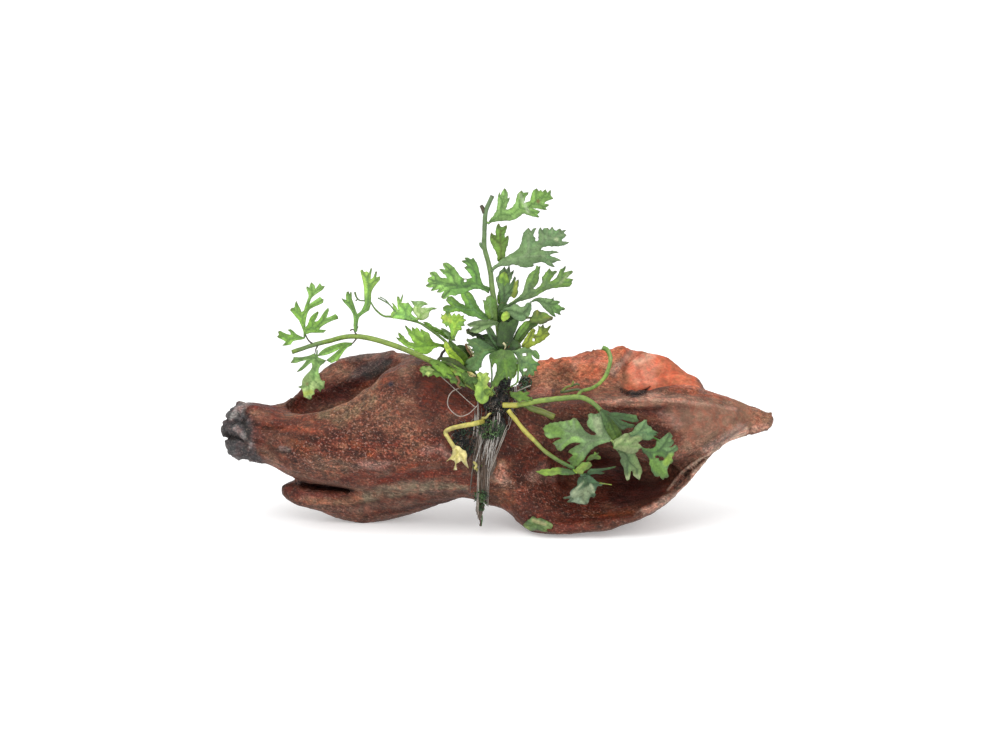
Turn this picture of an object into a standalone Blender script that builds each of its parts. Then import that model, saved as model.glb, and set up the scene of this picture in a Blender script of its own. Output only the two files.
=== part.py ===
"""A water fern tied with nylon line to a piece of driftwood that rests on a flat surface.

The wood's tables are in millimetres and the model is in metres. +Z is up, -Y is the front and +X runs to
the tip of the wood. The fern is drawn on squared paper, each point a column and a row of it, as seen from
15 degrees above the front; a square is SQUARE millimetres wide, and rows are counted downwards.
"""

import math

import bmesh
import bpy
from mathutils import Matrix, Vector, noise
from mathutils.bvhtree import BVHTree

MM = 0.001

# Driving dimensions, in millimetres. The last step moves everything by TO_MIDDLE, so the origin is
# under the middle of the finished object
TO_MIDDLE = (0.08, 1.23, 0)
GAP = 0.3
WOOD_VOXEL = 1.5
WOOD_KEEP = 0.15
GRAIN_DEPTH = 0.8
GRAIN_ALONG = 34.0
GRAIN_ACROSS = 7.0

# How each finish looks: linear colour and roughness
FINISHES = {
    "driftwood": ((0.115, 0.032, 0.018), 0.42),
    "torn_wood": ((0.56, 0.12, 0.045), 0.65),
    "leaf": ((0.085, 0.21, 0.065), 0.5),
    "young_leaf": ((0.21, 0.40, 0.05), 0.5),
    "stem": ((0.17, 0.33, 0.06), 0.45),
    "withered": ((0.55, 0.47, 0.10), 0.6),
    "roots": ((0.012, 0.012, 0.011), 0.8),
    "line": ((0.62, 0.58, 0.52), 0.3),
}

# Sections of the main body, left to right. Each is x and fourteen (y, z) landmarks: front crest, top,
# back crest, upper back, lower back, back of the base, base, keel, lip, hollow floor, hollow depth,
# brow, forehead and the dip under the crest
BODY = [
    (-57, [(-2.8, 31.8), (3, 31), (9.5, 33.5), (13, 27), (10.5, 18.5), (5, 14.5), (0, 13.2),
           (-3.5, 13.6), (-6.5, 15), (-8.5, 17.5), (-9.3, 20.5), (-9.2, 24), (-8, 27.5), (-5.8, 30.3)]),
    (-52, [(-3.2, 33), (4, 25.5), (13.5, 41), (18.5, 34), (18, 21), (13, 14), (5, 11.5),
           (-2, 12), (-6, 13.5), (-9.5, 16.5), (-11.5, 20), (-12, 24), (-10.5, 28), (-7.3, 31.3)]),
    (-46, [(-3.2, 34.5), (4, 23.5), (14.5, 44.6), (20, 37), (20, 24), (15, 13), (6, 9.5),
           (-1.5, 10), (-6, 11.5), (-10, 15), (-12.5, 19.5), (-13, 24), (-11.5, 28.5), (-7.5, 32.3)]),
    (-38, [(-2.5, 38), (4.5, 25), (14.5, 46.8), (19.5, 39), (20.5, 25), (16, 12), (7, 6.5),
           (-1.5, 7.5), (-6.5, 9.5), (-10.5, 13.5), (-13, 19), (-13.5, 25), (-12, 30), (-7.5, 35)]),
    (-31, [(-1, 44), (5, 35), (13, 47), (19, 40), (20.5, 26), (16, 12), (7, 6.5),
           (-2, 7.5), (-7.5, 10), (-12, 14.5), (-14.5, 20), (-15, 26), (-13, 32.5), (-7.5, 39.5)]),
    (-24, [(-1, 48), (5, 47.5), (12, 45.5), (18, 38), (20, 25), (15, 13), (7, 7),
           (-2.5, 7.5), (-8, 10), (-12.5, 14.5), (-15, 20.5), (-15.5, 27), (-13.5, 34.5), (-8, 43)]),
    (-16, [(-2, 45), (4, 44.5), (10, 42), (16, 36), (18, 25), (13, 14), (6, 8),
           (-3, 8.5), (-8.5, 10.5), (-12.5, 15), (-15, 21), (-15, 27), (-13, 34), (-8.5, 40.8)]),
    (-8, [(-3, 40.5), (3, 40), (9, 38), (14, 33), (16, 24), (12, 14), (5, 8),
          (-3, 7.6), (-8.5, 9.5), (-12, 14.5), (-14, 20.5), (-14, 26), (-12, 32), (-8.5, 37)]),
    (0, [(-4, 37.5), (2, 38), (8, 36.5), (13, 32), (15, 23), (11, 13), (4, 6.5),
         (-5, 5), (-10, 7.5), (-12.5, 13), (-13, 19), (-12, 24.5), (-11, 30), (-8.5, 34.5)]),
    (7, [(-7, 33.8), (0.5, 36.5), (8, 36), (14, 31), (17, 20), (14, 7), (2, 1),
         (-10, -0.6), (-15.5, 2.5), (-14.5, 9.5), (-12, 15.5), (-9.5, 21), (-9.5, 27), (-9.3, 31)]),
    (14, [(-10, 35.5), (-2, 36), (8, 36.5), (16, 31), (19, 18), (15, 2), (0, -1.5),
          (-13, -2), (-19.5, 1), (-14, 6.5), (-7, 12), (-6, 20), (-8.5, 27.5), (-9.8, 32)]),
    (21, [(-12, 37), (-4, 36), (8, 37), (17, 31), (20, 18), (16, -1.5), (0, -1.5),
          (-14, -0.5), (-21, 2.3), (-11, 5.5), (3, 12), (-3.5, 22), (-8, 29), (-11, 33.6)]),
    (29, [(-13.5, 38), (-5, 36.5), (8, 37.5), (18, 31), (21, 18), (16, -1.5), (0, -0.5),
          (-14, 0.8), (-21.5, 4), (-9, 5.5), (10, 12.5), (-5, 22.8), (-9.8, 28.5), (-12.3, 33.6)]),
    (37, [(-14, 39), (-4, 36.8), (8, 37), (17, 31), (20.5, 18), (14, 2), (0, 1),
          (-13, 2.6), (-21, 6), (-8, 7), (10, 12.5), (-8, 19.4), (-12.2, 26.5), (-12.8, 33.5)]),
    (45, [(-13, 39), (-4, 38.8), (6, 37.5), (14.5, 32), (18, 21), (12, 10), (1, 6.5),
          (-10, 6.5), (-17.3, 9.2), (-7, 10.8), (5, 14), (-10.3, 17.4), (-13, 25), (-12.5, 33)]),
    (51, [(-11.5, 37.3), (-3, 38.8), (5.5, 37.2), (12, 32), (15, 23), (10, 16), (1, 12.5),
          (-7, 12.2), (-13.3, 14.8), (-7, 16.5), (-1, 18.6), (-10.5, 20.6), (-12.3, 26), (-12, 32)]),
    (57, [(-9, 35.5), (-2, 37), (4.5, 35.5), (9.5, 31.5), (11.5, 26.5), (8, 22.5), (1, 20),
          (-5, 19.3), (-9.5, 20.6), (-8, 21.8), (-7.2, 22.8), (-9.6, 24), (-11, 27), (-10.5, 32)]),
    (63, [(-6.3, 33.6), (0, 34.7), (4.5, 33.6), (7.5, 31), (8.5, 28.5), (6, 26.3), (1, 25),
          (-3, 24.6), (-5.8, 24.9), (-6.9, 25.4), (-7.4, 26), (-8, 27), (-8.3, 28.8), (-7.8, 31.4)]),
    (69.5, [(-3.5, 31.9), (0, 32.4), (3, 31.8), (4.6, 30.2), (5, 28.6), (3.6, 27), (1, 26),
            (-1.6, 25.7), (-3.1, 26), (-4, 26.5), (-4.7, 27.2), (-5, 28.3), (-5, 29.6), (-4.6, 31)]),
]
LANDMARKS = 14
FIRST_LANDMARK_DEG = 110.0

# Round sections of the blunt left end and of the right tip: x, y, z, half width and half height
SNOUT_RINGS = [(-74, 0, 25.6, 4.0, 4.0), (-72.5, 0, 25.5, 6, 6.2), (-68, 0, 25.8, 7.4, 7.8), (-62, 0, 24.3, 8, 8)]
TIP_RINGS = [(73.8, 0, 28.7, 3.4, 2.9), (75.3, 0, 28.7, 2.6, 2.2)]

# Limbs that grow out of the body: path points x, y, z with half width and half height of each section
LOWER_PRONG = [(-59.5, 1, 9, 1.0, 0.9), (-57.5, 0.5, 8.3, 3.0, 2.6), (-52, 0, 7.2, 4.6, 3.5),
               (-45, 1, 5.4, 6.2, 4.8), (-36, 3, 3.8, 8, 5.4), (-26, 3, 7.2, 9, 5.8),
               (-16, 2, 10, 9, 5.4), (-6, 1, 12.4, 8, 4.6)]

# Lumps that the body carries: centre x, y, z and half sizes along x, y, z
CHARRED_KNOBS = [(-69.8, -1.5, 23, 4.4, 6, 4.2), (-67.5, 0, 29.8, 4.6, 5, 3.8), (-73.4, -2.5, 27, 2, 2.3, 2),
                 (-72.2, -2, 30, 2, 2.6, 2), (-74, 1.5, 24.6, 1.8, 2.4, 2.2), (-71.6, 3.5, 28, 2.6, 2.8, 3)]
TORN_LUMPS = [(12.5, 10, 35, 7, 8.5, 7), (19, 12, 36.2, 8, 8.5, 7), (27, 12.5, 37, 8.5, 8.5, 7.4),
              (34, 13, 38.4, 6.5, 7.5, 6.8)]
CUT_LUMPS = [(39.5, 9.5, 36.6, 11.5, 9, 8.8), (49, 8.5, 34.4, 7.5, 6.5, 5.2)]
CUT_FACE_POINT = (42, 6.5, 39.4)
CUT_FACE_NORMAL = (-0.06, -0.66, 0.745)
CUT_FACE_CENTRE = (43.6, 9.4, 41.2)
CUT_FACE_RADIUS = 10.2
CUT_FACE_CLEARANCE = 12

# Where the wood is parted at its forks: each limb's name and finish, the block that holds it, and the
# sloping plane that bounds the block below or above
FORKS = [
    ("driftwood_snout", "driftwood", (-90, -30, 12), (-56, 30, 60), None, None),
    ("driftwood_lower_prong", "driftwood", (-90, -30, -20), (-30, 30, 40), (-56, 0, 12.2), (0.17, 0, 0.985)),
    ("driftwood_back_fin", "driftwood", (-90, 2.5, 0), (-10, 40, 80), (-52, 4.5, 25.5), (0.431, -0.679, -0.596)),
    ("driftwood_torn_stub", "torn_wood", (7, -6.5, 34.5), (59, 40, 80), None, None),
    ("driftwood_scoop", "driftwood", (3, -40, -20), (90, 40, 80), None, None),
]

# The squared paper that the fern is drawn on
SQUARE = 0.2727
MIDDLE_COLUMN = 498
GROUND_ROW = 522
VIEW_TILT_DEG = 15
LEAF_THICKNESS = 0.5

# Stems: radius in millimetres at each end, and points as column, row and y
STEMS = {
    "main_frond_stem": (0.8, 0.7, "stem", [
        (499, 380, -9), (500, 352, -7.5), (498.5, 330, -6.5), (496.5, 312, -5.5), (492.3, 290, -4.5),
        (490, 270, -3.5), (484.7, 249, -2.5), (484.5, 235, -2), (486, 213, -1), (492.5, 197, -0.5)]),
    "arching_frond_stem": (0.85, 0.65, "stem", [
        (487, 392, -9.3), (474, 387, -9.3), (460, 378, -9), (443, 368, -7), (431, 361, -5.5), (404, 349, -3),
        (377, 340, -0.8), (358, 336.5, 0.8), (345, 337, 1.6), (329, 341, 2.5), (313, 345, 3.2), (292, 352, 4)]),
    "thin_frond_stem": (0.55, 0.3, "stem", [
        (475, 374, -8.3), (466, 364, -8), (448, 344, -5), (431, 330, -3), (417, 322, -1.5), (393, 317, 1),
        (384, 316, 2), (376, 310, 3), (370, 301, 3.5)]),
    "right_frond_stem": (0.8, 0.7, "stem", [
        (516, 406, -13), (524, 404, -14), (544, 400, -15), (564, 398, -16), (579, 397, -17),
        (591, 402, -17.5), (602, 413, -18), (608, 424, -18), (612, 438, -18)]),
    "low_frond_stem": (0.75, 0.6, "stem", [
        (516, 420, -14), (524, 430, -15.5), (533, 439, -16.5), (545, 451, -17.5), (560, 461, -18.5),
        (571, 467, -19)]),
    "curled_shoot": (0.55, 0.75, "young_leaf", [
        (581, 391, -15), (590, 388.5, -13.5), (598, 384, -11.5), (605, 376, -9.5), (608.5, 367, -8),
        (610, 358, -7), (607, 350.5, -6.5), (602, 347.5, -6.5)]),
    "cut_stipe": (0.95, 0.9, "young_leaf", [(531, 408, -12.5), (543, 412, -12.8), (554, 417, -13)]),
    "dead_frond_stem": (0.8, 0.9, "withered", [
        (474, 423, -17), (463, 425.5, -17), (452, 428, -17.2), (446, 432, -17.4), (450, 440, -17.4),
        (454.5, 446, -17.4)]),
}

# Leaflets: the y of the first point, how far y grows with each millimetre across and up, and the outline
LEAFLETS = {
    # Upright frond, from the top down
    "top_leaflet": ("leaf", -1.5, -0.35, 0.10, [
        (489.5, 225), (497, 223), (511, 222), (519, 218.5), (523, 214.5), (531, 217.5), (539.5, 218.5),
        (537, 215.5), (540, 212.5), (533, 209.5), (547, 211.5), (549, 206), (544.5, 204.5), (552.5, 200),
        (549.5, 197), (549.5, 191.5), (545, 191.5), (541, 196), (540, 191.5), (536, 190), (532, 194.5),
        (530.5, 203), (524, 205), (528, 194), (521, 192), (517.5, 197), (515, 206), (506.5, 211),
        (509, 199.5), (507, 193), (504.5, 190), (498.5, 197), (496.5, 209), (489.5, 221)]),
    "upright_leaflet": ("leaf", -3, 0.10, -0.30, [
        (498, 258), (495.5, 253), (493, 246), (490, 239), (491.5, 233), (495.5, 236.5), (497, 228.5),
        (499, 224.5), (501.5, 229), (507, 226.5), (504, 239.5), (508, 236), (507.5, 243), (504, 254)]),
    "second_right_leaflet": ("leaf", -3.5, 0.30, 0.0, [
        (495, 272), (496, 266), (500, 262), (505, 257.5), (513, 253.5), (519, 249), (521, 241), (523.5, 234.5),
        (528.5, 228.5), (530, 233), (536, 228.5), (533, 236), (537, 238.5), (540.5, 228), (545.5, 228),
        (550, 231), (553, 226.5), (554.5, 231), (559, 229), (566.5, 230.5), (563, 233.5), (566, 236),
        (561.5, 240.5), (569.5, 242.5), (563, 246), (550, 246.5), (541, 249.5), (558.5, 252.5), (551.5, 256),
        (561, 261), (555, 267), (544, 262.5), (534, 264.5), (529, 267.5), (520, 267.5), (513, 265.5),
        (503, 267), (499, 270)]),
    "first_left_leaflet": ("leaf", -4.4, 0.35, 0.0, [
        (488, 287.5), (482, 284), (479, 270), (476, 261.5), (473, 258.5), (465, 258), (462, 262), (466, 267),
        (471, 273), (472, 278.5), (465, 279), (457, 273), (449, 265), (443, 264), (439, 270), (447, 278),
        (441, 278), (436, 273.5), (430.5, 272.5), (427.5, 280.5), (426.5, 286), (430, 291.5), (437, 290.5),
        (441.5, 299.5), (447, 298), (451, 294.5), (460, 294.5), (470, 290), (480, 288.5), (487, 292)]),
    "second_left_leaflet": ("leaf", -6, -0.35, 0.0, [
        (487, 315.5), (481, 312), (476, 306.5), (473, 298.5), (467, 292.5), (459, 298), (464.5, 306),
        (458, 303), (452, 297.5), (446, 300.5), (450, 305), (443, 307), (443.5, 313), (450, 314), (456, 311),
        (463, 312), (472, 316.5), (486, 320.5)]),
    "third_right_leaflet": ("leaf", -6.2, -0.30, 0.0, [
        (502.5, 307), (511, 302), (519, 297), (523, 291), (525.5, 281), (528, 274), (534, 271), (538, 266),
        (540, 267), (539.5, 276), (538, 283), (533, 289), (539, 287), (543, 278), (549.5, 269.5),
        (552.5, 273.5), (557, 272.5), (550, 282), (556, 279), (560, 272), (565, 267), (566.5, 272),
        (572.5, 272.5), (566, 279), (573, 280), (569, 288), (556, 288.5), (546, 291.5), (537, 299.5),
        (525, 299.5), (514, 303.5), (505, 310)]),
    "middle_leaflet": ("leaf", -4, 0.10, 0.25, [
        (501, 306), (498.5, 297), (495.5, 288), (495, 277), (498, 271), (500.5, 265.5), (505, 264.5),
        (506, 270), (514, 269.5), (509.5, 285.5), (513, 281), (515.5, 276), (517, 282), (519.5, 279),
        (518, 292), (514, 299), (507, 304)]),
    "small_left_leaflet": ("leaf", -7.6, 0.05, 0.0, [
        (492, 323), (487, 316), (484, 308), (483, 301), (488, 296.5), (493, 298), (496, 306), (497, 316)]),
    "outer_right_leaflet": ("leaf", -6, 0.35, 0.0, [
        (535, 301), (541, 297.5), (548, 298.5), (553, 297.5), (554.5, 301.5), (560, 302), (559, 306),
        (565.5, 309.5), (560, 311), (560.5, 315), (555, 313.5), (554.5, 317.5), (548, 315), (542, 310),
        (538.5, 304)]),
    "grey_right_leaflet": ("leaf", -8.6, -0.15, 0.0, [
        (506, 309), (513, 304), (520, 308), (529, 303), (531, 309), (530, 316), (524, 321), (516, 320),
        (511, 316)]),
    "rolled_leaflet": ("leaf", -8.6, -0.20, 0.0, [
        (530, 319), (535, 312), (542, 312), (548, 315), (553, 318), (550, 321), (543, 323.5), (535, 322)]),
    "grey_left_leaflet": ("leaf", -8.2, 0.30, 0.0, [
        (496, 325), (488, 319.5), (480, 319.5), (472, 322), (467, 324.5), (472, 326.5), (467, 331), (474, 333),
        (481, 331), (488, 330), (494, 330)]),
    "olive_forked_leaflet": ("young_leaf", -7, -0.40, 0.10, [
        (522, 347), (524, 338), (530, 330.5), (534, 328.5), (536.5, 331), (534, 337), (529, 343.5),
        (532, 343), (538, 333), (539, 326.5), (543, 330), (545.5, 329), (551, 325.5), (548, 331.5),
        (549, 335), (543, 341), (537, 346), (529, 348)]),
    "olive_strip_leaflet": ("young_leaf", -7.6, 0.20, 0.0, [
        (514, 342), (517, 333), (522, 324.5), (527, 320.5), (532, 322), (528, 329), (521, 337), (517, 343)]),
    "dark_middle_leaflet": ("leaf", -8.9, 0.0, 0.0, [
        (499, 343), (498.5, 330), (501, 323), (507, 321), (513, 323), (514, 330), (511, 341), (506, 345)]),
    "blue_left_leaflet": ("leaf", -9, 0.25, 0.0, [
        (498, 349), (490, 343), (481, 338.5), (472, 338), (464, 342), (468, 347), (474, 352), (480, 356),
        (470, 358), (466, 362), (468, 369), (474, 373), (480, 368), (485, 358), (491, 353), (497, 352)]),
    "bright_middle_leaflet": ("young_leaf", -10, 0.10, 0.30, [
        (503, 350), (496, 352), (491, 357), (490, 362), (495, 364), (498, 366), (496, 374), (497, 379),
        (501, 376), (504, 380), (509, 378), (514, 374), (515, 366), (514, 357), (510, 351.5)]),
    "grey_low_right_leaflet": ("leaf", -9, 0.30, 0.20, [
        (511, 349), (518, 346.5), (526, 349), (531, 351), (537, 354.5), (540, 359), (534, 357), (531, 359),
        (538, 363.5), (536, 370), (530, 374), (525, 377), (521, 372), (517, 368), (516, 360), (513, 354)]),
    "yellow_low_leaflet": ("young_leaf", -12.2, 0.0, 0.0, [
        (489, 372), (483, 372), (477, 376), (474, 383), (477, 388), (475, 394), (478, 400), (484, 398),
        (489, 394), (491, 390), (486, 386), (490, 381)]),
    # Arching frond on the left
    "arching_top_leaflet": ("young_leaf", 0.8, -0.30, 0.15, [
        (354, 332), (353.5, 320), (350.5, 309), (341.5, 298), (346, 299.5), (349, 291.5), (350.5, 296),
        (352, 292), (353.5, 301), (355.5, 303), (357, 313), (363, 308.5), (366, 297), (363.5, 284),
        (360.5, 270), (365, 271.5), (371.5, 268.5), (370, 277), (372.5, 279), (376.5, 271), (376.5, 278),
        (381, 276), (377, 284), (372, 291.5), (370.5, 308), (367, 312.5), (360, 317), (357, 332)]),
    "arching_side_leaflet": ("young_leaf", 3.2, 0.35, 0.10, [
        (310, 340.5), (306, 340.5), (295, 341), (290, 345), (283, 345.5), (288, 341), (278, 337), (278, 331.5),
        (285, 332), (292, 335.5), (288.5, 330), (291, 329), (297, 333), (303.5, 334), (301.5, 325),
        (299, 318.5), (290, 311), (290.5, 308.5), (294.5, 307.5), (296.5, 301), (300, 310), (303.5, 312),
        (308, 299), (308.5, 293), (306, 287.5), (310, 286.5), (312.5, 283), (315, 288), (321, 284),
        (320.5, 286.5), (325, 287), (319, 292), (312, 296.5), (309.5, 304), (315, 301.5), (320, 297.5),
        (323.5, 299), (323, 304), (316, 307.5), (309, 309), (307, 316), (306.5, 326), (309, 324), (311, 318),
        (318.5, 311.5), (316.5, 318), (314.5, 323), (319, 321.5), (322.5, 315), (328.5, 308.5), (327, 316),
        (336, 314), (338, 318), (331, 322.5), (322, 328), (326, 330), (320, 333), (308, 334.5)]),
    "arching_hanging_leaflet": ("young_leaf", 3.2, 0.10, 0.20, [
        (314.5, 349.5), (313, 353.5), (308, 355), (294, 358), (290.5, 362.5), (297, 363), (305, 359),
        (302, 364), (297, 372), (302, 371), (308, 364), (312.5, 357), (311, 370), (305, 378), (301, 385),
        (297, 387), (302, 388), (304, 398), (310, 399.5), (313, 396), (315.5, 387), (321, 392),
        (324.5, 389), (322, 386), (325.5, 382), (321, 380.5), (318, 370), (320, 364), (325, 361),
        (322, 358.5), (317, 356), (318, 349.5)]),
    "arching_under_leaflet": ("leaf", 1.2, 0.30, 0.0, [
        (352, 342.5), (343, 342), (333, 345), (326, 347.5), (321, 351), (317, 356), (326, 355), (335, 351.5),
        (341, 347.5), (334, 354), (326, 360), (331, 363), (338, 360), (342, 354), (346, 348), (352, 345)]),
    # Thin frond in the middle of the left side
    "thin_tuft_leaflet": ("young_leaf", 0.6, -0.38, 0.10, [
        (392, 314), (391, 310), (396, 311), (399, 308), (397, 297), (400, 299), (403, 294.5), (402, 302),
        (405, 305), (411, 303), (410, 308), (414, 313), (421, 318.5), (413, 318.5), (402, 315.5)]),
    "thin_pale_leaflet": ("leaf", 0.4, -0.20, 0.05, [
        (415, 315), (418, 309), (411, 301), (419, 303), (428, 302), (426, 306), (438, 308), (429, 310),
        (428, 316), (422, 317)]),
    "bright_left_leaflet": ("young_leaf", -7, 0.30, -0.10, [
        (443, 347), (436, 343.5), (430, 334), (422, 328), (423, 334), (418, 329), (414, 327), (415, 334),
        (406, 325.5), (413, 342), (407, 340), (399, 332), (403, 339), (398, 339), (404, 344), (414, 350),
        (421, 354), (434, 352), (440, 350)]),
    "yellow_lobed_leaflet": ("young_leaf", -7.5, 0.20, -0.15, [
        (452, 339), (448, 328), (441.5, 319), (443, 316), (450, 316), (452, 320), (453, 315), (459, 312),
        (464.5, 315), (464, 321), (459, 328), (460, 332), (455, 332), (454.5, 339)]),
    "yellow_left_leaflet": ("young_leaf", -9.2, 0.0, 0.0, [
        (447, 343), (444, 348), (446, 352), (450, 357), (455, 362), (460, 366), (465, 365), (461, 359),
        (456, 352), (452, 345)]),
    "low_left_leaflet": ("leaf", -12.4, 0.0, 0.0, [
        (420, 367), (427, 364.5), (444, 369), (455, 367), (464, 370), (470, 374), (474, 381), (468, 384),
        (462, 380), (452, 380), (440, 376), (430, 374)]),
    # Frond that hangs over the right hollow
    "large_right_leaflet": ("leaf", -20, -0.25, 0.0, [
        (608, 440), (600, 443.5), (592, 447), (587, 453), (583, 461), (577, 465.5), (570, 464), (567, 461),
        (571, 457), (567, 451), (573, 447), (579, 443), (571, 444), (566, 448), (563, 451.5), (557, 451),
        (553, 444.5), (561, 439.5), (549, 438), (544, 432), (543, 426), (549, 423.5), (559, 421),
        (570, 417.5), (577, 419.5), (582, 429), (585.5, 434.5), (591, 435), (587, 427), (586, 419),
        (588, 413.5), (596, 413), (601, 421), (605, 431)]),
    "dark_upper_leaflet": ("leaf", -19.8, 0.30, 0.0, [
        (611, 414), (622, 413), (635, 416), (638, 423), (628, 422), (634, 427), (630, 430), (621, 427),
        (612, 421)]),
    "far_right_leaflet": ("leaf", -18.3, 0.30, 0.0, [
        (622, 434), (628, 431.5), (637, 424), (643, 420), (646, 421), (647, 427), (659, 433.5), (652, 435),
        (655, 439), (648, 441), (641, 438), (630, 438)]),
    "far_low_leaflet": ("leaf", -19.2, 0.35, 0.15, [
        (639, 449), (650, 449.5), (655, 443), (660, 438.5), (669, 432), (672, 440), (670, 445.5), (677, 446),
        (672, 453), (672, 463), (667, 466), (668, 477), (662, 479), (657, 474.5), (652, 473), (648, 465),
        (645, 457), (639, 452.5)]),
    "pale_leaflet": ("young_leaf", -21, -0.10, 0.05, [
        (611, 447), (613, 440.5), (620, 437), (633, 437), (642, 440), (640, 446), (638, 451), (631, 453),
        (624, 452), (617, 449.5)]),
    "hanging_right_leaflet": ("leaf", -19.6, 0.0, 0.20, [
        (617, 448), (619, 457), (623, 472), (625, 479), (628, 479), (630, 471), (637, 478), (639, 476),
        (640, 468), (638, 461), (634, 452), (625, 448)]),
    # Low frond on the right
    "pointing_left_leaflet": ("young_leaf", -20.5, 0.25, 0.0, [
        (573, 471.5), (568, 474), (550, 475), (545, 474), (535.5, 471), (541, 468), (548, 468.5), (555, 466),
        (562, 467.5), (573, 469)]),
    "bud_leaflet": ("young_leaf", -22, 0.0, 0.0, [
        (575, 468), (581, 462), (586, 460), (593, 452.5), (598, 453.5), (600, 458), (592, 462), (588, 469),
        (583, 474), (578, 474), (574, 471)]),
    "dark_right_leaflet": ("leaf", -20.2, 0.30, 0.0, [
        (588, 472), (596, 469), (605, 468), (616, 466), (606, 470.5), (599, 473), (590, 474)]),
    "crumpled_leaflet": ("leaf", -20.8, 0.0, -0.20, [
        (579, 472), (576, 481), (571, 489), (562, 497.5), (571, 498), (568, 503), (573, 501), (578, 503.5),
        (587, 502.5), (589, 497), (594, 497), (594, 486), (603, 483), (597, 480), (590, 477), (585, 472)]),
    # Others
    "toothed_leaflet": ("young_leaf", -15, 0.0, 0.0, [
        (512, 392), (521, 389.5), (528, 391), (533, 394), (530, 398), (524, 399), (516, 400), (512, 396)]),
    "dead_leaf": ("withered", -18.4, 0.0, 0.0, [
        (455, 450), (460, 450), (466, 453), (467, 458), (469, 468), (461, 460), (459, 466), (455, 470),
        (454, 462), (448, 461), (452, 455)]),
    "fallen_leaflet": ("leaf", -19.5, 0.1, 1.2, [
        (524, 524), (529, 517.5), (538, 516), (545, 519), (553, 525), (549, 529), (541, 530), (533, 528)]),
}

# Root lumps and crown lumps: centre x, y, z and half sizes in millimetres
CROWN_LUMPS = [(0.6, -9.3, 37.4, 3.2, 2.8, 3.2), (2.2, -10.2, 35.2, 2.2, 2, 2.4), (-2.6, -10.2, 35.6, 2.4, 2, 2.6)]
ROOT_LUMPS = [(0, -12.6, 29.5, 3.4, 2.2, 5), (-2.4, -14, 22, 2.9, 1.9, 6), (-4.2, -14.4, 14, 2.3, 1.7, 5.5),
              (-5, -12.6, 7.5, 2, 2, 3.6), (-4.8, -12, 3.6, 1, 1, 2.6)]

# Nylon line: its radius, its two turns round the waist as angle and x, and the free ends as column, row
# and y. Angles run from the back through the top, the front and the base
LINE_RADIUS = 0.2
LINE_AXIS_YZ = (1, 21)
LINE_TURNS = [(150, -6.4), (185, -7.8), (240, -8), (330, -1), (420, 5.8), (470, 5.6), (503, 4.1),
              (551, -2), (600, -1.2), (690, -3.5), (780, -6.3), (870, -6.1)]
LINE_STEP_DEG = 12
LINE_SPAN_DEG = 6
LINE_STRAIGHT_END = [(431, 367, -9), (453, 387, -10.5), (473, 405, -12)]
LINE_CURLED_END = [(478, 405, -14), (468, 414, -15.2), (458, 415.5, -15.8), (449, 407, -15.4), (451, 395, -14),
                   (462, 388, -12.5)]


def clear_scene():
    for obj in list(bpy.data.objects):
        bpy.data.objects.remove(obj)


def collection(name):
    made = bpy.data.collections.new(name)
    bpy.context.scene.collection.children.link(made)
    return made


def finish(name):
    """The finish's material, made once."""
    found = bpy.data.materials.get(name)
    if found:
        return found
    colour, roughness = FINISHES[name]
    made = bpy.data.materials.new(name)
    made.use_nodes = True
    shader = made.node_tree.nodes["Principled BSDF"]
    shader.inputs["Base Color"].default_value = (*colour, 1)
    shader.inputs["Roughness"].default_value = roughness
    shader.inputs["Metallic"].default_value = 0
    return made


def show(name, mesh, finish_name, matrix=None):
    """Puts a mesh or curve in the object's collection under its node's name."""
    obj = bpy.data.objects.new(name, mesh)
    mesh.materials.clear()
    mesh.materials.append(finish(finish_name))
    if matrix:
        obj.matrix_world = matrix
    FERN.objects.link(obj)
    return obj


def helper(name, mesh):
    """Puts a guide or cutter in the helpers' collection, where it isn't rendered."""
    obj = bpy.data.objects.new(name, mesh)
    obj.hide_render = True
    obj.display_type = "WIRE"
    HELPERS.objects.link(obj)
    return obj


def evaluated_mesh(obj):
    """The object's mesh with its modifiers applied, in world space."""
    bpy.context.view_layer.update()
    graph = bpy.context.evaluated_depsgraph_get()
    mesh = bpy.data.meshes.new_from_object(obj.evaluated_get(graph))
    mesh.transform(obj.matrix_world)
    return mesh


def mesh_of(bm, name):
    bmesh.ops.recalc_face_normals(bm, faces=bm.faces)
    mesh = bpy.data.meshes.new(name)
    bm.to_mesh(mesh)
    bm.free()
    return mesh


def ring(x, y, z, half_width, half_height):
    """A section with every landmark on an ellipse, from the front crest over the back and under."""
    points = []
    for index in range(LANDMARKS):
        angle = math.radians(FIRST_LANDMARK_DEG - 360 / LANDMARKS * index)
        points.append((x, y + half_width * math.cos(angle), z + half_height * math.sin(angle)))
    return points


def loft(name, sections):
    """A closed skin through sections of equal point counts, in millimetres."""
    bm = bmesh.new()
    rings = [[bm.verts.new(Vector(point) * MM) for point in section] for section in sections]
    count = len(rings[0])
    for low, high in zip(rings, rings[1:]):
        for index in range(count):
            after = (index + 1) % count
            bm.faces.new((low[index], low[after], high[after], high[index]))
    bm.faces.new(rings[0])
    bm.faces.new(rings[-1])
    return mesh_of(bm, name)


def rounded(name, mesh, levels):
    """The mesh as a Subdivision Surface of its cage."""
    obj = helper(name, mesh)
    modifier = obj.modifiers.new("round", "SUBSURF")
    modifier.levels = modifier.render_levels = levels
    return evaluated_mesh(obj)


def lump(x, y, z, half_x, half_y, half_z, segments=20):
    """An ellipsoid, in millimetres."""
    bm = bmesh.new()
    size = Matrix.Diagonal((half_x * MM, half_y * MM, half_z * MM, 1))
    bmesh.ops.create_uvsphere(bm, u_segments=segments, v_segments=segments // 2, radius=1,
                              matrix=Matrix.Translation(Vector((x, y, z)) * MM) @ size)
    return mesh_of(bm, "lump")


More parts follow.
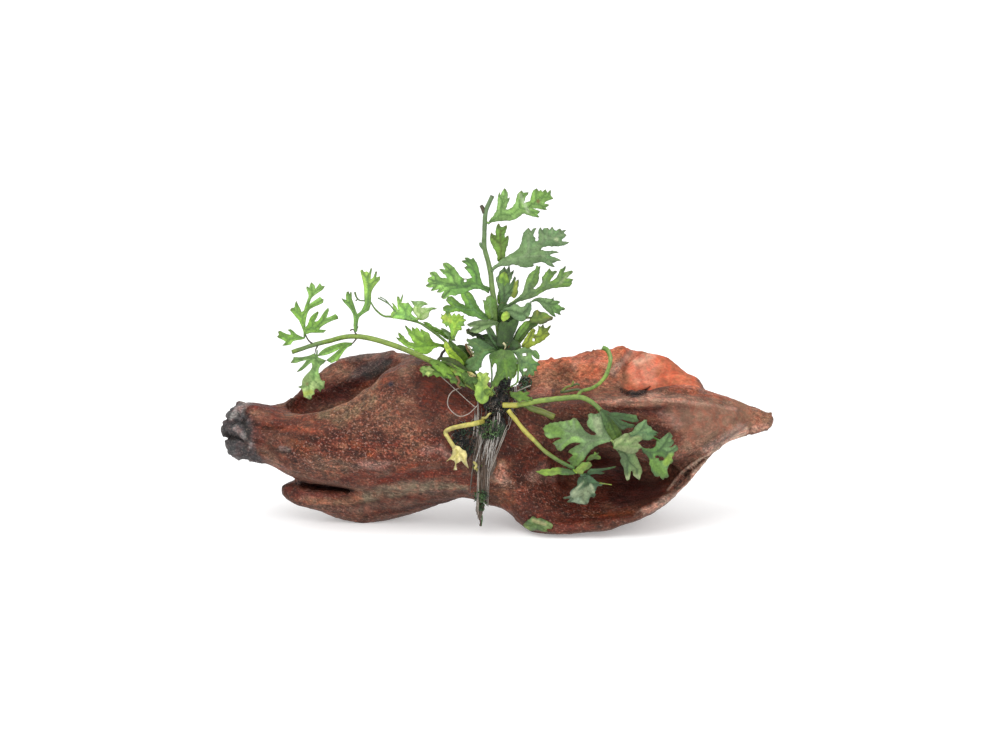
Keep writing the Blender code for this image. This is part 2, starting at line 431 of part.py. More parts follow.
def sliced(mesh, point, normal):
    """The mesh without what lies beyond a plane, closed flat there."""
    bm = bmesh.new()
    bm.from_mesh(mesh)
    bmesh.ops.bisect_plane(bm, geom=bm.verts[:] + bm.edges[:] + bm.faces[:], plane_co=Vector(point) * MM,
                           plane_no=Vector(normal), clear_outer=True)
    bmesh.ops.holes_fill(bm, edges=bm.edges[:])
    return mesh_of(bm, mesh.name)


def together(name, meshes):
    """Several closed meshes as one mesh of loose shells."""
    bm = bmesh.new()
    for mesh in meshes:
        bm.from_mesh(mesh)
    return mesh_of(bm, name)


def fused(name, meshes, voxel, smoothing):
    """Overlapping shells as one skin."""
    obj = helper(name, together(name, meshes))
    remesh = obj.modifiers.new("fuse", "REMESH")
    remesh.mode = "VOXEL"
    remesh.voxel_size = voxel * MM
    smooth = obj.modifiers.new("soften", "SMOOTH")
    smooth.iterations = smoothing
    return evaluated_mesh(obj)


def grained(mesh):
    """Furrows that run along the wood, and shallow swells across it."""
    for vertex in mesh.vertices:
        place = vertex.co / MM
        along = Vector((place.x / GRAIN_ALONG, place.y / GRAIN_ACROSS, place.z / GRAIN_ACROSS))
        swell = noise.noise(place / 17)
        furrow = 1 - 2 * abs(noise.noise(along))
        vertex.co += vertex.normal * (GRAIN_DEPTH * MM * (0.8 * swell + furrow - 0.7))
    mesh.update()


def thinned(name, mesh, keep):
    obj = helper(name, mesh)
    modifier = obj.modifiers.new("thin", "DECIMATE")
    modifier.ratio = keep
    return evaluated_mesh(obj)


def block(low, high, point=None, normal=None, grow=0.0):
    """A block between two corners, less what lies beyond a plane, and larger all round by grow."""
    low, high = Vector(low) - Vector((grow, grow, grow)), Vector(high) + Vector((grow, grow, grow))
    bm = bmesh.new()
    place = Matrix.Translation((low + high) / 2 * MM) @ Matrix.Diagonal((*((high - low) * MM), 1))
    bmesh.ops.create_cube(bm, size=1, matrix=place)
    mesh = mesh_of(bm, "block")
    if normal:
        mesh = sliced(mesh, Vector(point) + Vector(normal) * grow, normal)
    return helper("block", mesh)


def drum(centre, normal, radius, height):
    """A round cutter that stands on a plane."""
    bm = bmesh.new()
    turn = Vector(normal).to_track_quat("Z", "Y").to_matrix().to_4x4()
    place = Matrix.Translation(Vector(centre) * MM) @ turn @ Matrix.Translation((0, 0, height / 2 * MM))
    bmesh.ops.create_cone(bm, cap_ends=True, segments=24, radius1=radius * MM, radius2=radius * MM,
                          depth=height * MM, matrix=place)
    return helper("drum", mesh_of(bm, "drum"))


def cut(mesh, cutter, operation):
    """The mesh less the cutter, or only what is inside it."""
    obj = helper("cut", mesh)
    modifier = obj.modifiers.new("cut", "BOOLEAN")
    modifier.operation = operation
    modifier.object = cutter
    return evaluated_mesh(obj)


def whole_driftwood():
    """The driftwood as one skin with its broken face and flat foot, before it is parted at its forks."""
    sections = [ring(*row) for row in SNOUT_RINGS]
    sections += [[(x, y, z) for y, z in points] for x, points in BODY]
    sections += [ring(*row) for row in TIP_RINGS]
    shells = [rounded("body", loft("body", sections), 2)]
    shells.append(rounded("prong", loft("prong", [ring(*row) for row in LOWER_PRONG]), 2))
    shells += [lump(*row) for row in CHARRED_KNOBS + TORN_LUMPS]
    shells += [sliced(lump(*row), CUT_FACE_POINT, CUT_FACE_NORMAL) for row in CUT_LUMPS]
    skin = fused("driftwood", shells, WOOD_VOXEL, 2)
    grained(skin)
    skin = thinned("thin_driftwood", skin, WOOD_KEEP)
    skin = cut(skin, drum(CUT_FACE_CENTRE, CUT_FACE_NORMAL, CUT_FACE_RADIUS, CUT_FACE_CLEARANCE), "DIFFERENCE")
    return cut(skin, block((-90, -40, -20), (90, 40, 0)), "DIFFERENCE")


def part_driftwood(skin):
    """The limbs and the body that is left, each a node of its own with a hairline between them."""
    rest = skin
    for name, finish_name, low, high, point, normal in FORKS:
        limb = cut(rest, block(low, high, point, normal), "INTERSECT")
        rest = cut(rest, block(low, high, point, normal, GAP), "DIFFERENCE")
        show(name, limb, finish_name)
    show("driftwood_body", rest, "driftwood")


def drawn(column, row, y):
    """The place of a point of the drawing at a depth, in metres."""
    tilt = math.radians(VIEW_TILT_DEG)
    up = (GROUND_ROW - row) * SQUARE
    return Vector(((column - MIDDLE_COLUMN) * SQUARE, y, (up - y * math.sin(tilt)) / math.cos(tilt))) * MM


def tube(name, points, radii, finish_name, sides):
    """A stem or line along points, with its radius at each end, in millimetres."""
    curve = bpy.data.curves.new(name, "CURVE")
    curve.dimensions = "3D"
    curve.bevel_depth = MM
    curve.bevel_resolution = sides // 2 - 2
    curve.use_fill_caps = True
    spline = curve.splines.new("POLY")
    spline.points.add(len(points) - 1)
    for index, (knot, point) in enumerate(zip(spline.points, points)):
        knot.co = (*point, 1)
        knot.radius = radii[0] + (radii[1] - radii[0]) * index / (len(points) - 1)
    return show(name, curve, finish_name)


def smooth_path(points, steps):
    """Points along a smooth curve through the given ones."""
    path = []
    ends = [2 * points[0] - points[1]] + points + [2 * points[-1] - points[-2]]
    for before, start, end, after in zip(ends, ends[1:], ends[2:], ends[3:]):
        for step in range(steps):
            t = step / steps
            path.append(0.5 * (2 * start + (end - before) * t
                               + (2 * before - 5 * start + 4 * end - after) * t * t
                               + (3 * start - before - 3 * end + after) * t ** 3))
    return path + [points[-1]]


def leaflet(name, finish_name, y, across, up, outline):
    """A flat plate on a tilted plane that covers its outline in the drawing."""
    first = drawn(*outline[0], y)
    normal = Vector((-across, 1, -up)).normalized()
    sight = Vector((0, math.cos(math.radians(VIEW_TILT_DEG)), -math.sin(math.radians(VIEW_TILT_DEG))))
    side = Vector((0, 0, 1)).cross(normal).normalized()
    frame = Matrix((side, normal.cross(side), normal)).transposed().to_4x4()
    frame.translation = first
    to_plate = frame.inverted()
    curve = bpy.data.curves.new(name, "CURVE")
    curve.dimensions = "2D"
    curve.fill_mode = "BOTH"
    curve.extrude = LEAF_THICKNESS / 2 * MM
    spline = curve.splines.new("POLY")
    spline.use_cyclic_u = True
    spline.points.add(len(outline) - 1)
    for knot, (column, row) in zip(spline.points, outline):
        point = drawn(column, row, y)
        point += sight * ((first - point).dot(normal) / sight.dot(normal))
        flat = to_plate @ point
        knot.co = (flat.x, flat.y, 0, 1)
    return show(name, curve, finish_name, frame)


def swollen(mesh, amount):
    """The mesh grown outwards, as a cutter that leaves a gap."""
    copy = mesh.copy()
    copy.calc_loop_triangles()
    for vertex in copy.vertices:
        vertex.co += vertex.normal * (amount * MM)
    return helper("swollen", copy)


def lump_node(name, rows, voxel, keep, finish_name, wood):
    """Lumps in one skin, hollowed where they lie on the wood."""
    skin = fused(name + "_skin", [lump(*row) for row in rows], voxel, 1)
    skin = thinned(name + "_thin", skin, keep)
    return show(name, cut(skin, wood, "DIFFERENCE"), finish_name)


def spoke(degrees):
    """The direction across the waist at an angle."""
    angle = math.radians(degrees)
    return Vector((0, math.cos(angle), math.sin(angle)))


def surface_reach(trees, start, out):
    """How far the outermost surface is from a point, along a spoke."""
    far = 40 * MM
    hits = [tree.ray_cast(start + out * far, -out)[3] for tree in trees]
    return far - min(hit for hit in hits if hit is not None)


def line_route(carriers):
    """Two turns of line round the waist, pressed on whatever they pass over."""
    trees = [BVHTree.FromPolygons([v.co for v in mesh.vertices], [p.vertices for p in mesh.polygons])
             for mesh in carriers]
    route = []
    first, last = LINE_TURNS[0][0], LINE_TURNS[-1][0]
    for degrees in range(first, last + 1, LINE_STEP_DEG):
        below, above = next(pair for pair in zip(LINE_TURNS, LINE_TURNS[1:]) if degrees <= pair[1][0])
        share = (degrees - below[0]) / (above[0] - below[0])
        x = below[1] + (above[1] - below[1]) * share
        start = Vector((x, *LINE_AXIS_YZ)) * MM
        out = spoke(degrees)
        reach = max(surface_reach(trees, start, spoke(degrees + turn)) for turn in (-LINE_SPAN_DEG, 0, LINE_SPAN_DEG))
        route.append(start + out * (reach + (GAP + 3 * LINE_RADIUS) * MM))
    return route


clear_scene()
FERN = collection("fern_on_driftwood")
HELPERS = collection("helpers")
WOOD = whole_driftwood()
part_driftwood(WOOD)

WOOD_AND_GAP = swollen(WOOD, GAP)
crown = lump_node("crown", CROWN_LUMPS, 0.8, 0.25, "roots", WOOD_AND_GAP)
roots = lump_node("root_bundle", ROOT_LUMPS, 0.8, 0.25, "roots", WOOD_AND_GAP)

for name, (start_radius, end_radius, finish_name, points) in STEMS.items():
    tube(name, [drawn(*point) for point in points], (start_radius, end_radius), finish_name, 6)
for name, row in LEAFLETS.items():
    leaflet(name, *row)

route = smooth_path([drawn(*point) for point in LINE_STRAIGHT_END], 2) + line_route([WOOD, roots.data, crown.data])
route += smooth_path([drawn(*point) for point in LINE_CURLED_END], 2)
tube("nylon_line", route, (LINE_RADIUS, LINE_RADIUS), "line", 4)

for part in FERN.objects:
    part.location += Vector(TO_MIDDLE) * MM
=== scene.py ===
"""The looks of the water fern on driftwood: one carved and painted piece of wood, leaves with veins and
folds, wiry roots, moss and the clear line, on a pale floor under soft light.

Places on the front are given as columns and rows of the drawing that the part follows, as seen from 15
degrees above the front; a square is 0.2727 mm wide, and rows are counted downwards. Depths and sizes are
in millimetres unless a comment says otherwise. A line of places is written as words, one for each place,
with its numbers parted by commas: column and row, then a brush stroke's half width in squares, a wire's
depth, or the depth and radius of added wood.
"""

import heapq
import math
import random
from contextlib import contextmanager

import bpy
import numpy as np
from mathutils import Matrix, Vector, noise
from mathutils.bvhtree import BVHTree
from mathutils.kdtree import KDTree


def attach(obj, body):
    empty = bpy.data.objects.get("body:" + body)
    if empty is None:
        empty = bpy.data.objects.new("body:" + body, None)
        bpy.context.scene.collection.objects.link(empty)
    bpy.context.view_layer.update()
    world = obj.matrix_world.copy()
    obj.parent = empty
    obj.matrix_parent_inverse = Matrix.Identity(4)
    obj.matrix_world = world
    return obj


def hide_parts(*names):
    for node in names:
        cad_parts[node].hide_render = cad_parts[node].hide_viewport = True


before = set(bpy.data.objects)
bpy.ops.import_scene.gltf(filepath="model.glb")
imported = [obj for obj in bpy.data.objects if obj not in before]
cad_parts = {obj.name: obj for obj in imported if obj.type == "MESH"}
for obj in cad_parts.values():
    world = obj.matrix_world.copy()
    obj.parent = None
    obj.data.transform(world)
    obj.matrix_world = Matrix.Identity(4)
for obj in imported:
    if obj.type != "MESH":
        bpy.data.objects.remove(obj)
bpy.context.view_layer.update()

# The drawing: its square in millimetres, the column and row of its middle on the ground, how far it looks
# down, the part's own middle from there in millimetres, and the way that the viewer looks
MM = 0.001
SQUARE = 0.2727
MIDDLE_COLUMN = 498
GROUND_ROW = 522
TILT = math.radians(15)
TO_MIDDLE = Vector((0.08, 1.23, 0))
SIGHT = Vector((0, math.cos(TILT), -math.sin(TILT)))

# The camera: how far it is, its sensor in millimetres, and the drawing's width and middle
DISTANCE = 2.0
SENSOR = 36
PICTURE_WIDTH = 1005
PICTURE_MIDDLE = (502.5, 377)

DICE = random.Random(7)
TINY = 1e-9

# How far a surface is eased in and out by turns, and where a brush stroke's soft edge ends
EASE_IN, EASE_OUT = 0.6, -0.62
BRUSH_END, BRUSH_SOFTNESS = 1.25, 0.85

# How light the studio makes a tone, and what leaves and wood add to it in red, green and blue
LIGHT_LEVEL = 0.47
LEAF_LIGHT = np.array([1.62, 1.58, 1.22])
WOOD_LIGHT = np.array([1.14, 1.0, 0.86])

# Tones, as they look to the eye: red, green and blue of 255
# Some of these tones are painted light and shade: the slit, crevice and hollow tones are painted shade, the
# soot tone is soot and painted shade, the pale rim and white green tones are painted highlights, and the
# pale pink and ash tones are partly painted highlights.
TONES = {
    "bark": (120, 76, 62), "bark_dark": (82, 42, 32), "bark_red": (122, 54, 40), "rust": (152, 82, 58),
    "rust_light": (178, 106, 82), "rust_brown": (138, 78, 44), "orange_spot": (160, 88, 50),
    "tan": (176, 136, 114), "olive_tan": (150, 126, 104), "grey_beige": (150, 136, 122),
    "mauve_brown": (126, 98, 90), "violet": (182, 146, 142), "pink_brown": (166, 128, 112),
    "maroon": (114, 58, 54), "dark_maroon": (88, 38, 30), "slit_shade": (48, 22, 18), "pale_rim_highlight": (218, 190, 180),
    "pale_pink_and_highlight": (206, 164, 152), "smooth_red": (100, 44, 28), "charcoal": (84, 84, 92),
    "ash_and_highlight": (184, 182, 192), "soot_and_shade": (46, 42, 42), "fin_grey": (138, 114, 110), "hollow_shade": (88, 48, 44),
    "torn": (246, 152, 118), "torn_brown": (202, 142, 118), "torn_pink": (220, 156, 142),
    "torn_dark": (150, 104, 80), "disc": (255, 172, 150), "disc_orange": (252, 150, 118),
    "disc_light": (255, 204, 188), "crevice_shade": (30, 16, 13), "knot_blue": (72, 76, 100),
    "mauve_pale": (176, 152, 148), "tip_brown": (180, 132, 110), "deep_green": (62, 92, 56),
    "blue_green": (92, 128, 92), "grey_green": (126, 150, 122), "mid_green": (84, 124, 62),
    "fresh_green": (112, 154, 66), "light_green": (128, 168, 96), "lime": (152, 188, 76),
    "yellow_green": (176, 196, 92), "pale_green": (158, 180, 122), "sage": (106, 136, 98),
    "sea_green": (76, 112, 84), "moss_green": (86, 116, 52), "shade_green": (44, 70, 38),
    "olive": (124, 132, 58), "lime_olive": (142, 160, 58), "dark_olive": (74, 88, 44),
    "white_green_highlight": (196, 212, 184), "frost_green": (172, 190, 176), "yellow": (206, 196, 98),
    "straw": (220, 208, 138), "leaf_brown": (120, 84, 50), "stem_green": (124, 154, 66),
    "stem_lime": (158, 184, 84), "stalk_brown": (72, 60, 44), "stalk_black": (52, 42, 32),
    "root_black": (27, 29, 26), "root_brown": (118, 94, 76), "root_grey": (150, 138, 126),
    "thread_pale": (242, 234, 226), "moss": (98, 136, 82), "moss_light": (124, 162, 96),
    "moss_pale": (134, 164, 142), "cream": (222, 214, 184),
}


def tone(name):
    """The surface's own linear colour that shows a tone under the studio light."""
    return np.array([LIGHT_LEVEL * ((v / 255 + 0.055) / 1.055) ** 2.4 for v in TONES[name]])


# Small helpers

def drawn(column, row, y):
    """The place of a point of the drawing at a depth, in metres."""
    up = (GROUND_ROW - row) * SQUARE
    point = Vector(((column - MIDDLE_COLUMN) * SQUARE, y, (up - y * math.sin(TILT)) / math.cos(TILT)))
    return (point + TO_MIDDLE) * MM


def on_drawing(places):
    """The column and row of each place, from an array in metres."""
    mm = places / MM - np.array(TO_MIDDLE)
    column = mm[:, 0] / SQUARE + MIDDLE_COLUMN
    row = GROUND_ROW - (mm[:, 2] * math.cos(TILT) + mm[:, 1] * math.sin(TILT)) / SQUARE
    return column, row


def only(obj):
    """Selects one object and makes it active."""
    if bpy.context.object and bpy.context.object.mode != "OBJECT":
        bpy.ops.object.mode_set(mode="OBJECT")
    bpy.ops.object.select_all(action="DESELECT")
    obj.select_set(True)
    bpy.context.view_layer.objects.active = obj


def add_object(name, data):
    obj = bpy.data.objects.new(name, data)
    bpy.context.scene.collection.objects.link(obj)
    return obj


@contextmanager
def edit_mode():
    """Edit mode on the active object, with all of it selected at first."""
    bpy.ops.object.mode_set(mode="EDIT")
    bpy.ops.mesh.select_all(action="SELECT")
    yield
    bpy.ops.object.mode_set(mode="OBJECT")


def join(first, *others):
    """Joins objects to the first one."""
    only(first)
    for other in others:
        other.select_set(True)
    bpy.ops.object.join()


def shade_smooth(obj):
    only(obj)
    bpy.ops.object.shade_smooth()


def copy_of(names, name):
    """Merged copies of CAD nodes as one object."""
    copies = [add_object(name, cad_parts[n].data.copy()) for n in names]
    for obj in copies:
        obj.data.materials.clear()
    only(copies[0])
    if len(copies) > 1:
        join(*copies)
    with edit_mode():
        bpy.ops.mesh.remove_doubles(threshold=0.00001)
    return copies[0]


def apply(obj, kind, **settings):
    """Adds a modifier, sets it and applies it."""
    only(obj)
    modifier = obj.modifiers.new(kind.lower(), kind)
    for key, value in settings.items():
        setattr(modifier, key, value)
    bpy.ops.object.modifier_apply(modifier=modifier.name)


def places_of(obj):
    values = np.zeros(len(obj.data.vertices) * 3)
    obj.data.vertices.foreach_get("co", values)
    return values.reshape(-1, 3)


def normals_of(obj):
    values = np.zeros(len(obj.data.vertices) * 3, np.float32)
    obj.data.vertex_normals.foreach_get("vector", values)
    return values.reshape(-1, 3).astype(float)


def put_places(obj, places):
    obj.data.vertices.foreach_set("co", places.ravel())
    obj.data.update()


def ease_facets(obj, rounds):
    """Takes facets off a surface and keeps its broad form, by easing in and out by turns."""
    mesh = obj.data
    ends = np.zeros(len(mesh.edges) * 2, np.int64)
    mesh.edges.foreach_get("vertices", ends)
    ends = ends.reshape(-1, 2)
    one, other = np.concatenate([ends[:, 0], ends[:, 1]]), np.concatenate([ends[:, 1], ends[:, 0]])
    count = np.maximum(np.bincount(one, minlength=len(mesh.vertices)), 1)
    places = places_of(obj)
    for _ in range(rounds):
        for amount in (EASE_IN, EASE_OUT):
            sums = [np.bincount(one, places[other, axis], len(places)) for axis in range(3)]
            middle = np.stack(sums, 1) / count[:, None]
            places = places + amount * (middle - places)
    put_places(obj, places)


def smooth_step(x):
    x = np.clip(x, 0, 1)
    return x * x * (3 - 2 * x)


def places_in(words):
    """The places that words give, each with its numbers parted by commas."""
    return [tuple(map(float, word.split(","))) for word in words.split()]


def drawn_path(words, steps):
    """A smooth path through places of the drawing, given as columns, rows and depths."""
    return smooth_path([drawn(*place) for place in places_in(words)], steps)


def brush(column, row, words):
    """How far each point is inside a brush stroke: 1 on its line and 0 at its edge."""
    weight = np.zeros(len(column))
    path = places_in(words)
    path = path if len(path) > 1 else path * 2
    for (c0, r0, w0), (c1, r1, w1) in zip(path, path[1:]):
        dc, dr = c1 - c0, r1 - r0
        t = np.clip(((column - c0) * dc + (row - r0) * dr) / max(dc * dc + dr * dr, TINY), 0, 1)
        away = np.hypot(column - c0 - t * dc, row - r0 - t * dr) / (w0 + t * (w1 - w0))
        weight = np.maximum(weight, smooth_step((BRUSH_END - away) / BRUSH_SOFTNESS))
    return weight


def hump(values, width):
    """1 where a value is 0, and less the further it is from there."""
    return np.exp(-(values / width) ** 2)


def lay(colour, name, share):
    """Lays a tone over the colours, by a share for each vertex."""
    colour += (tone(name) - colour) * np.clip(share, 0, 1)[:, None]


def set_tint(obj, colours, name="tint"):
    """A colour for each vertex."""
    layer = obj.data.color_attributes.new(name, "FLOAT_COLOR", "POINT")
    values = np.ones((len(colours), 4))
    values[:, :3] = colours
    layer.data.foreach_set("color", values.ravel())


def set_share(obj, name, values):
    """A share from 0 to 1 for each vertex."""
    layer = obj.data.attributes.new(name, "FLOAT", "POINT")
    layer.data.foreach_set("value", np.asarray(values, np.float32))


def smooth_path(points, steps):
    """Points along a smooth curve through the given ones."""
    path = []
    ends = [2 * points[0] - points[1]] + points + [2 * points[-1] - points[-2]]
    for before, start, end, after in zip(ends, ends[1:], ends[2:], ends[3:]):
        for step in range(steps):
            t = step / steps
            path.append(0.5 * (2 * start + (end - before) * t
                               + (2 * before - 5 * start + 4 * end - after) * t * t
                               + (3 * start - before - 3 * end + after) * t ** 3))
    return path + [points[-1]]


def finder(points, numbers=None):
    """A tree that finds the nearest of some points, with the number of each."""
    tree = KDTree(len(points))
    for point, number in zip(points, numbers or range(len(points))):
        tree.insert(point, number)
    tree.balance()
    return tree


def surface_tree(obj):
    """A tree that finds places on an object's surface."""
    return BVHTree.FromPolygons([v.co for v in obj.data.vertices], [p.vertices for p in obj.data.polygons])


def wires(name, routes, sides):
    """Round wires in one mesh. Each route is a list of places and a list of radii in millimetres."""
    curve = bpy.data.curves.new(name, "CURVE")
    curve.dimensions = "3D"
    curve.bevel_depth = MM
    curve.bevel_resolution = max(sides // 2 - 2, 0)
    curve.use_fill_caps = True
    for points, radii in routes:
        spline = curve.splines.new("POLY")
        spline.points.add(len(points) - 1)
        for knot, point, radius in zip(spline.points, points, radii):
            knot.co = (*point, 1)
            knot.radius = radius
    obj = add_object(name, curve)
    only(obj)
    bpy.ops.object.convert(target="MESH")
    with edit_mode():
        bpy.ops.mesh.remove_doubles(threshold=0.000001)
        bpy.ops.mesh.normals_make_consistent(inside=False)
    bpy.ops.object.shade_smooth()
    return obj


def finish_piece(obj, material, nodes=()):
    """Gives a piece its material and its place in the part."""
    obj.data.materials.clear()
    obj.data.materials.append(material)
    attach(obj, "root")
    if nodes:
        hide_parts(*nodes)
    return obj


# Materials

def new_material(name):
    made = bpy.data.materials.new(name)
    made.use_nodes = True
    tree = made.node_tree
    return made, tree, tree.nodes["Principled BSDF"]


def plug(tree, value, socket):
    """Sets a socket to a number or a colour, or links it to another node's output."""
    if isinstance(value, (int, float, tuple)):
        socket.default_value = value
    else:
        tree.links.new(value, socket)


def plug_all(tree, made, **sockets):
    """Sets or links sockets by their names."""
    for key, value in sockets.items():
        plug(tree, value, made.inputs[key.replace("_", " ")])
    return made


def node(tree, kind, **sockets):
    return plug_all(tree, tree.nodes.new(kind), **sockets)


def object_place(tree, stretch=1, rise=0):
    """Object coordinates, stretched along a way that rises to the right by some degrees."""
    source = tree.nodes.new("ShaderNodeTexCoord").outputs["Object"]
    turn = (0, -math.radians(rise), 0)
    mapping = node(tree, "ShaderNodeMapping", Vector=source, Scale=(stretch, 1, 1), Rotation=turn)
    mapping.vector_type = "TEXTURE"
    return mapping.outputs["Vector"]


def grain_at(tree, place, scale, detail, roughness=0.5, distortion=0.0):
    """Grey noise at a place. A greater scale is a finer grain."""
    made = node(tree, "ShaderNodeTexNoise", Vector=place, Scale=scale, Detail=detail, Roughness=roughness,
                Distortion=distortion)
    return made.outputs["Fac"]


def ramp(tree, source, stops):
    """Grey values or colours at places from 0 to 1 of a source."""
    made = tree.nodes.new("ShaderNodeValToRGB")
    elements = made.color_ramp.elements
    for _ in stops[2:]:
        elements.new(0.5)
    for element, (place, value) in zip(elements, stops):
        element.position = place
        element.color = (*value, 1) if isinstance(value, tuple) else (value, value, value, 1)
    tree.links.new(source, made.inputs["Fac"])
    return made.outputs["Color"]


def maths(tree, operation, first, second):
    made = tree.nodes.new("ShaderNodeMath")
    made.operation = operation
    for socket, value in zip(made.inputs, (first, second)):
        plug(tree, value, socket)
    return made.outputs[0]


def blend_colour(tree, how, share, first, second):
    made = tree.nodes.new("ShaderNodeMix")
    made.data_type = "RGBA"
    made.blend_type = how
    for socket, value in (("Factor", share), (6, first), (7, second)):
        plug(tree, value, made.inputs[socket])
    return made.outputs[2]


def read(tree, name, output):
    made = tree.nodes.new("ShaderNodeAttribute")
    made.attribute_name = name
    return made.outputs[output]


def bump(tree, height, strength, distance, before=None):
    made = node(tree, "ShaderNodeBump", Height=height, Strength=strength, Distance=distance)
    if before:
        plug(tree, before, made.inputs["Normal"])
    return made.outputs["Normal"]


# The driftwood's grain: how many degrees it rises to the right, where it is steep, and rings in a millimetre
GRAIN_RISE = -14
STEEP_RISE = 48
RINGS_A_MM = 1.3

# What its grains do to the painted tones, as place in the noise and tone
GRAIN_TONES = [(0.36, 0.62), (0.45, 0.86), (0.52, 1.0), (0.6, 1.2), (0.68, 1.38)]
PEBBLE_TONES = [(0.38, 0.6), (0.46, 0.84), (0.53, 1.03), (0.6, 1.36), (0.68, 1.66)]
BLOTCH_TONES = [(0.34, 0.66), (0.5, 1.0), (0.66, 1.34)]
HUE_TONES = [(0.38, (1.16, 0.86, 0.8)), (0.5, (1.0, 1.0, 1.0)), (0.62, (0.86, 1.02, 0.98))]
CREASE_TONES = [(0.0, (1.85, 1.76, 1.7)), (0.03, (1.5, 1.44, 1.4)), (0.065, (0.96, 0.95, 0.95)),
                (0.12, (0.62, 0.6, 0.6))]
# Painted glints: where in the pebble noise a pale colour is mixed in, from none to all
PAINTED_GLINTS = [(0.585, 0.0), (0.65, 1.0)]
PAINTED_GLINT_COLOUR = (0.42, 0.29, 0.24, 1)
WOOD_ROUGHNESS = [(0.35, 0.38), (0.65, 0.64)]

# The same for leaves and the clear line
LEAF_MOTTLE = [(0.36, 0.8), (0.5, 1.0), (0.64, 1.22)]
LEAF_SKIN = [(0.38, 0.88), (0.62, 1.12)]
LEAF_ROUGHNESS = [(0.3, 0.36), (0.7, 0.52)]
NYLON_COLOUR = (0.5, 0.43, 0.37, 1)


def driftwood_material():
    """Wet, dark wood: painted tones under a pebbled and fibrous grain, with painted glints."""
    made, tree, shader = new_material("wet_driftwood")
    speckle = read(tree, "speckle", "Fac")
    plain = object_place(tree)
    across = maths(tree, "MULTIPLY", read(tree, "from_rim", "Fac"), RINGS_A_MM)
    along = maths(tree, "MULTIPLY", read(tree, "along_rim", "Fac"), RINGS_A_MM / 10)
    ring_place = node(tree, "ShaderNodeCombineXYZ", X=across, Y=along).outputs["Vector"]
    pebbles = grain_at(tree, plain, 1800.0, 3.0, 0.55, 0.5)
    wrinkles = grain_at(tree, object_place(tree, 2, GRAIN_RISE), 820.0, 2.0, 0.5, 1.2)
    fibres = grain_at(tree, object_place(tree, 4, GRAIN_RISE), 1500.0, 4.0, 0.6, 0.2)
    steep = grain_at(tree, object_place(tree, 4, STEEP_RISE), 1500.0, 4.0, 0.6, 0.3)
    rings = grain_at(tree, ring_place, 1.0, 4.0, 0.6, 0.15)
    blotches = grain_at(tree, plain, 210.0, 4.0, 0.6, 0.8)
    hues = grain_at(tree, plain, 430.0, 3.0, 0.6, 0.6)
    grain = blend_colour(tree, "MIX", read(tree, "steep", "Fac"), fibres, steep)
    grain = blend_colour(tree, "MIX", read(tree, "ringed", "Fac"), grain, rings)
    crease = maths(tree, "ABSOLUTE", maths(tree, "SUBTRACT", wrinkles, 0.5), 0)
    share = maths(tree, "SUBTRACT", 0.9, maths(tree, "MULTIPLY", read(tree, "even", "Fac"), 0.6))
    creased = maths(tree, "MULTIPLY", share, maths(tree, "ADD", maths(tree, "MULTIPLY", speckle, 0.7), 0.35))
    colour = read(tree, "tint", "Color")
    for amount, source, tones in (
            (1.0, blotches, BLOTCH_TONES), (0.8, hues, HUE_TONES), (share, grain, GRAIN_TONES),
            (speckle, pebbles, PEBBLE_TONES), (creased, crease, CREASE_TONES)):
        colour = blend_colour(tree, "MULTIPLY", amount, colour, ramp(tree, source, tones))
    # Painted glints: a pale colour mixed in at the brightest pebbles where the grain is coarse
    painted_glint = maths(tree, "MULTIPLY", maths(tree, "MULTIPLY", ramp(tree, pebbles, PAINTED_GLINTS), speckle), 0.42)
    colour = blend_colour(tree, "MIX", painted_glint, colour, PAINTED_GLINT_COLOUR)
    height = maths(tree, "MULTIPLY", pebbles, maths(tree, "ADD", speckle, 0.25))
    height = maths(tree, "SUBTRACT", height, maths(tree, "MULTIPLY", crease, 1.2))
    normal = bump(tree, grain, 0.55, 0.00035, bump(tree, height, 0.8, 0.0005))
    dry = maths(tree, "MULTIPLY", read(tree, "dry", "Fac"), 0.3)
    rough = maths(tree, "ADD", ramp(tree, fibres, WOOD_ROUGHNESS), dry)
    plug_all(tree, shader, Base_Color=colour, Normal=normal, Roughness=rough, Specular_IOR_Level=0.22)
    return made


def leaf_material():
    """Thin, slightly waxy leaf: painted tones, paler veins and a fine skin."""
    made, tree, shader = new_material("fern_leaf")
    plain = object_place(tree)
    mottle = grain_at(tree, plain, 620.0, 4.0, 0.6)
    skin = grain_at(tree, plain, 1900.0, 2.0)
    colour = read(tree, "tint", "Color")
    for source, tones in ((mottle, LEAF_MOTTLE), (skin, LEAF_SKIN)):
        colour = blend_colour(tree, "MULTIPLY", 1.0, colour, ramp(tree, source, tones))
    ribs = bump(tree, read(tree, "vein", "Fac"), 0.5, 0.0002)
    plug_all(tree, shader, Base_Color=colour, Normal=bump(tree, skin, 0.25, 0.00012, ribs),
             Roughness=ramp(tree, mottle, LEAF_ROUGHNESS), Specular_IOR_Level=0.35)
    return made


def painted_material(name, grain_scale, contrast, roughness, depth):
    """Painted tones broken up by one grain, for stems, roots and moss."""
    made, tree, shader = new_material(name)
    grain = grain_at(tree, object_place(tree), grain_scale, 4.0, 0.65)
    tones = ramp(tree, grain, [(0.32, 1 - contrast), (0.5, 1.0), (0.68, 1 + contrast)])
    colour = blend_colour(tree, "MULTIPLY", 1.0, read(tree, "tint", "Color"), tones)
    plug_all(tree, shader, Base_Color=colour, Normal=bump(tree, grain, 0.4, depth),
             Roughness=ramp(tree, grain, [(0.3, roughness - 0.08), (0.7, roughness + 0.1)]))
    return made


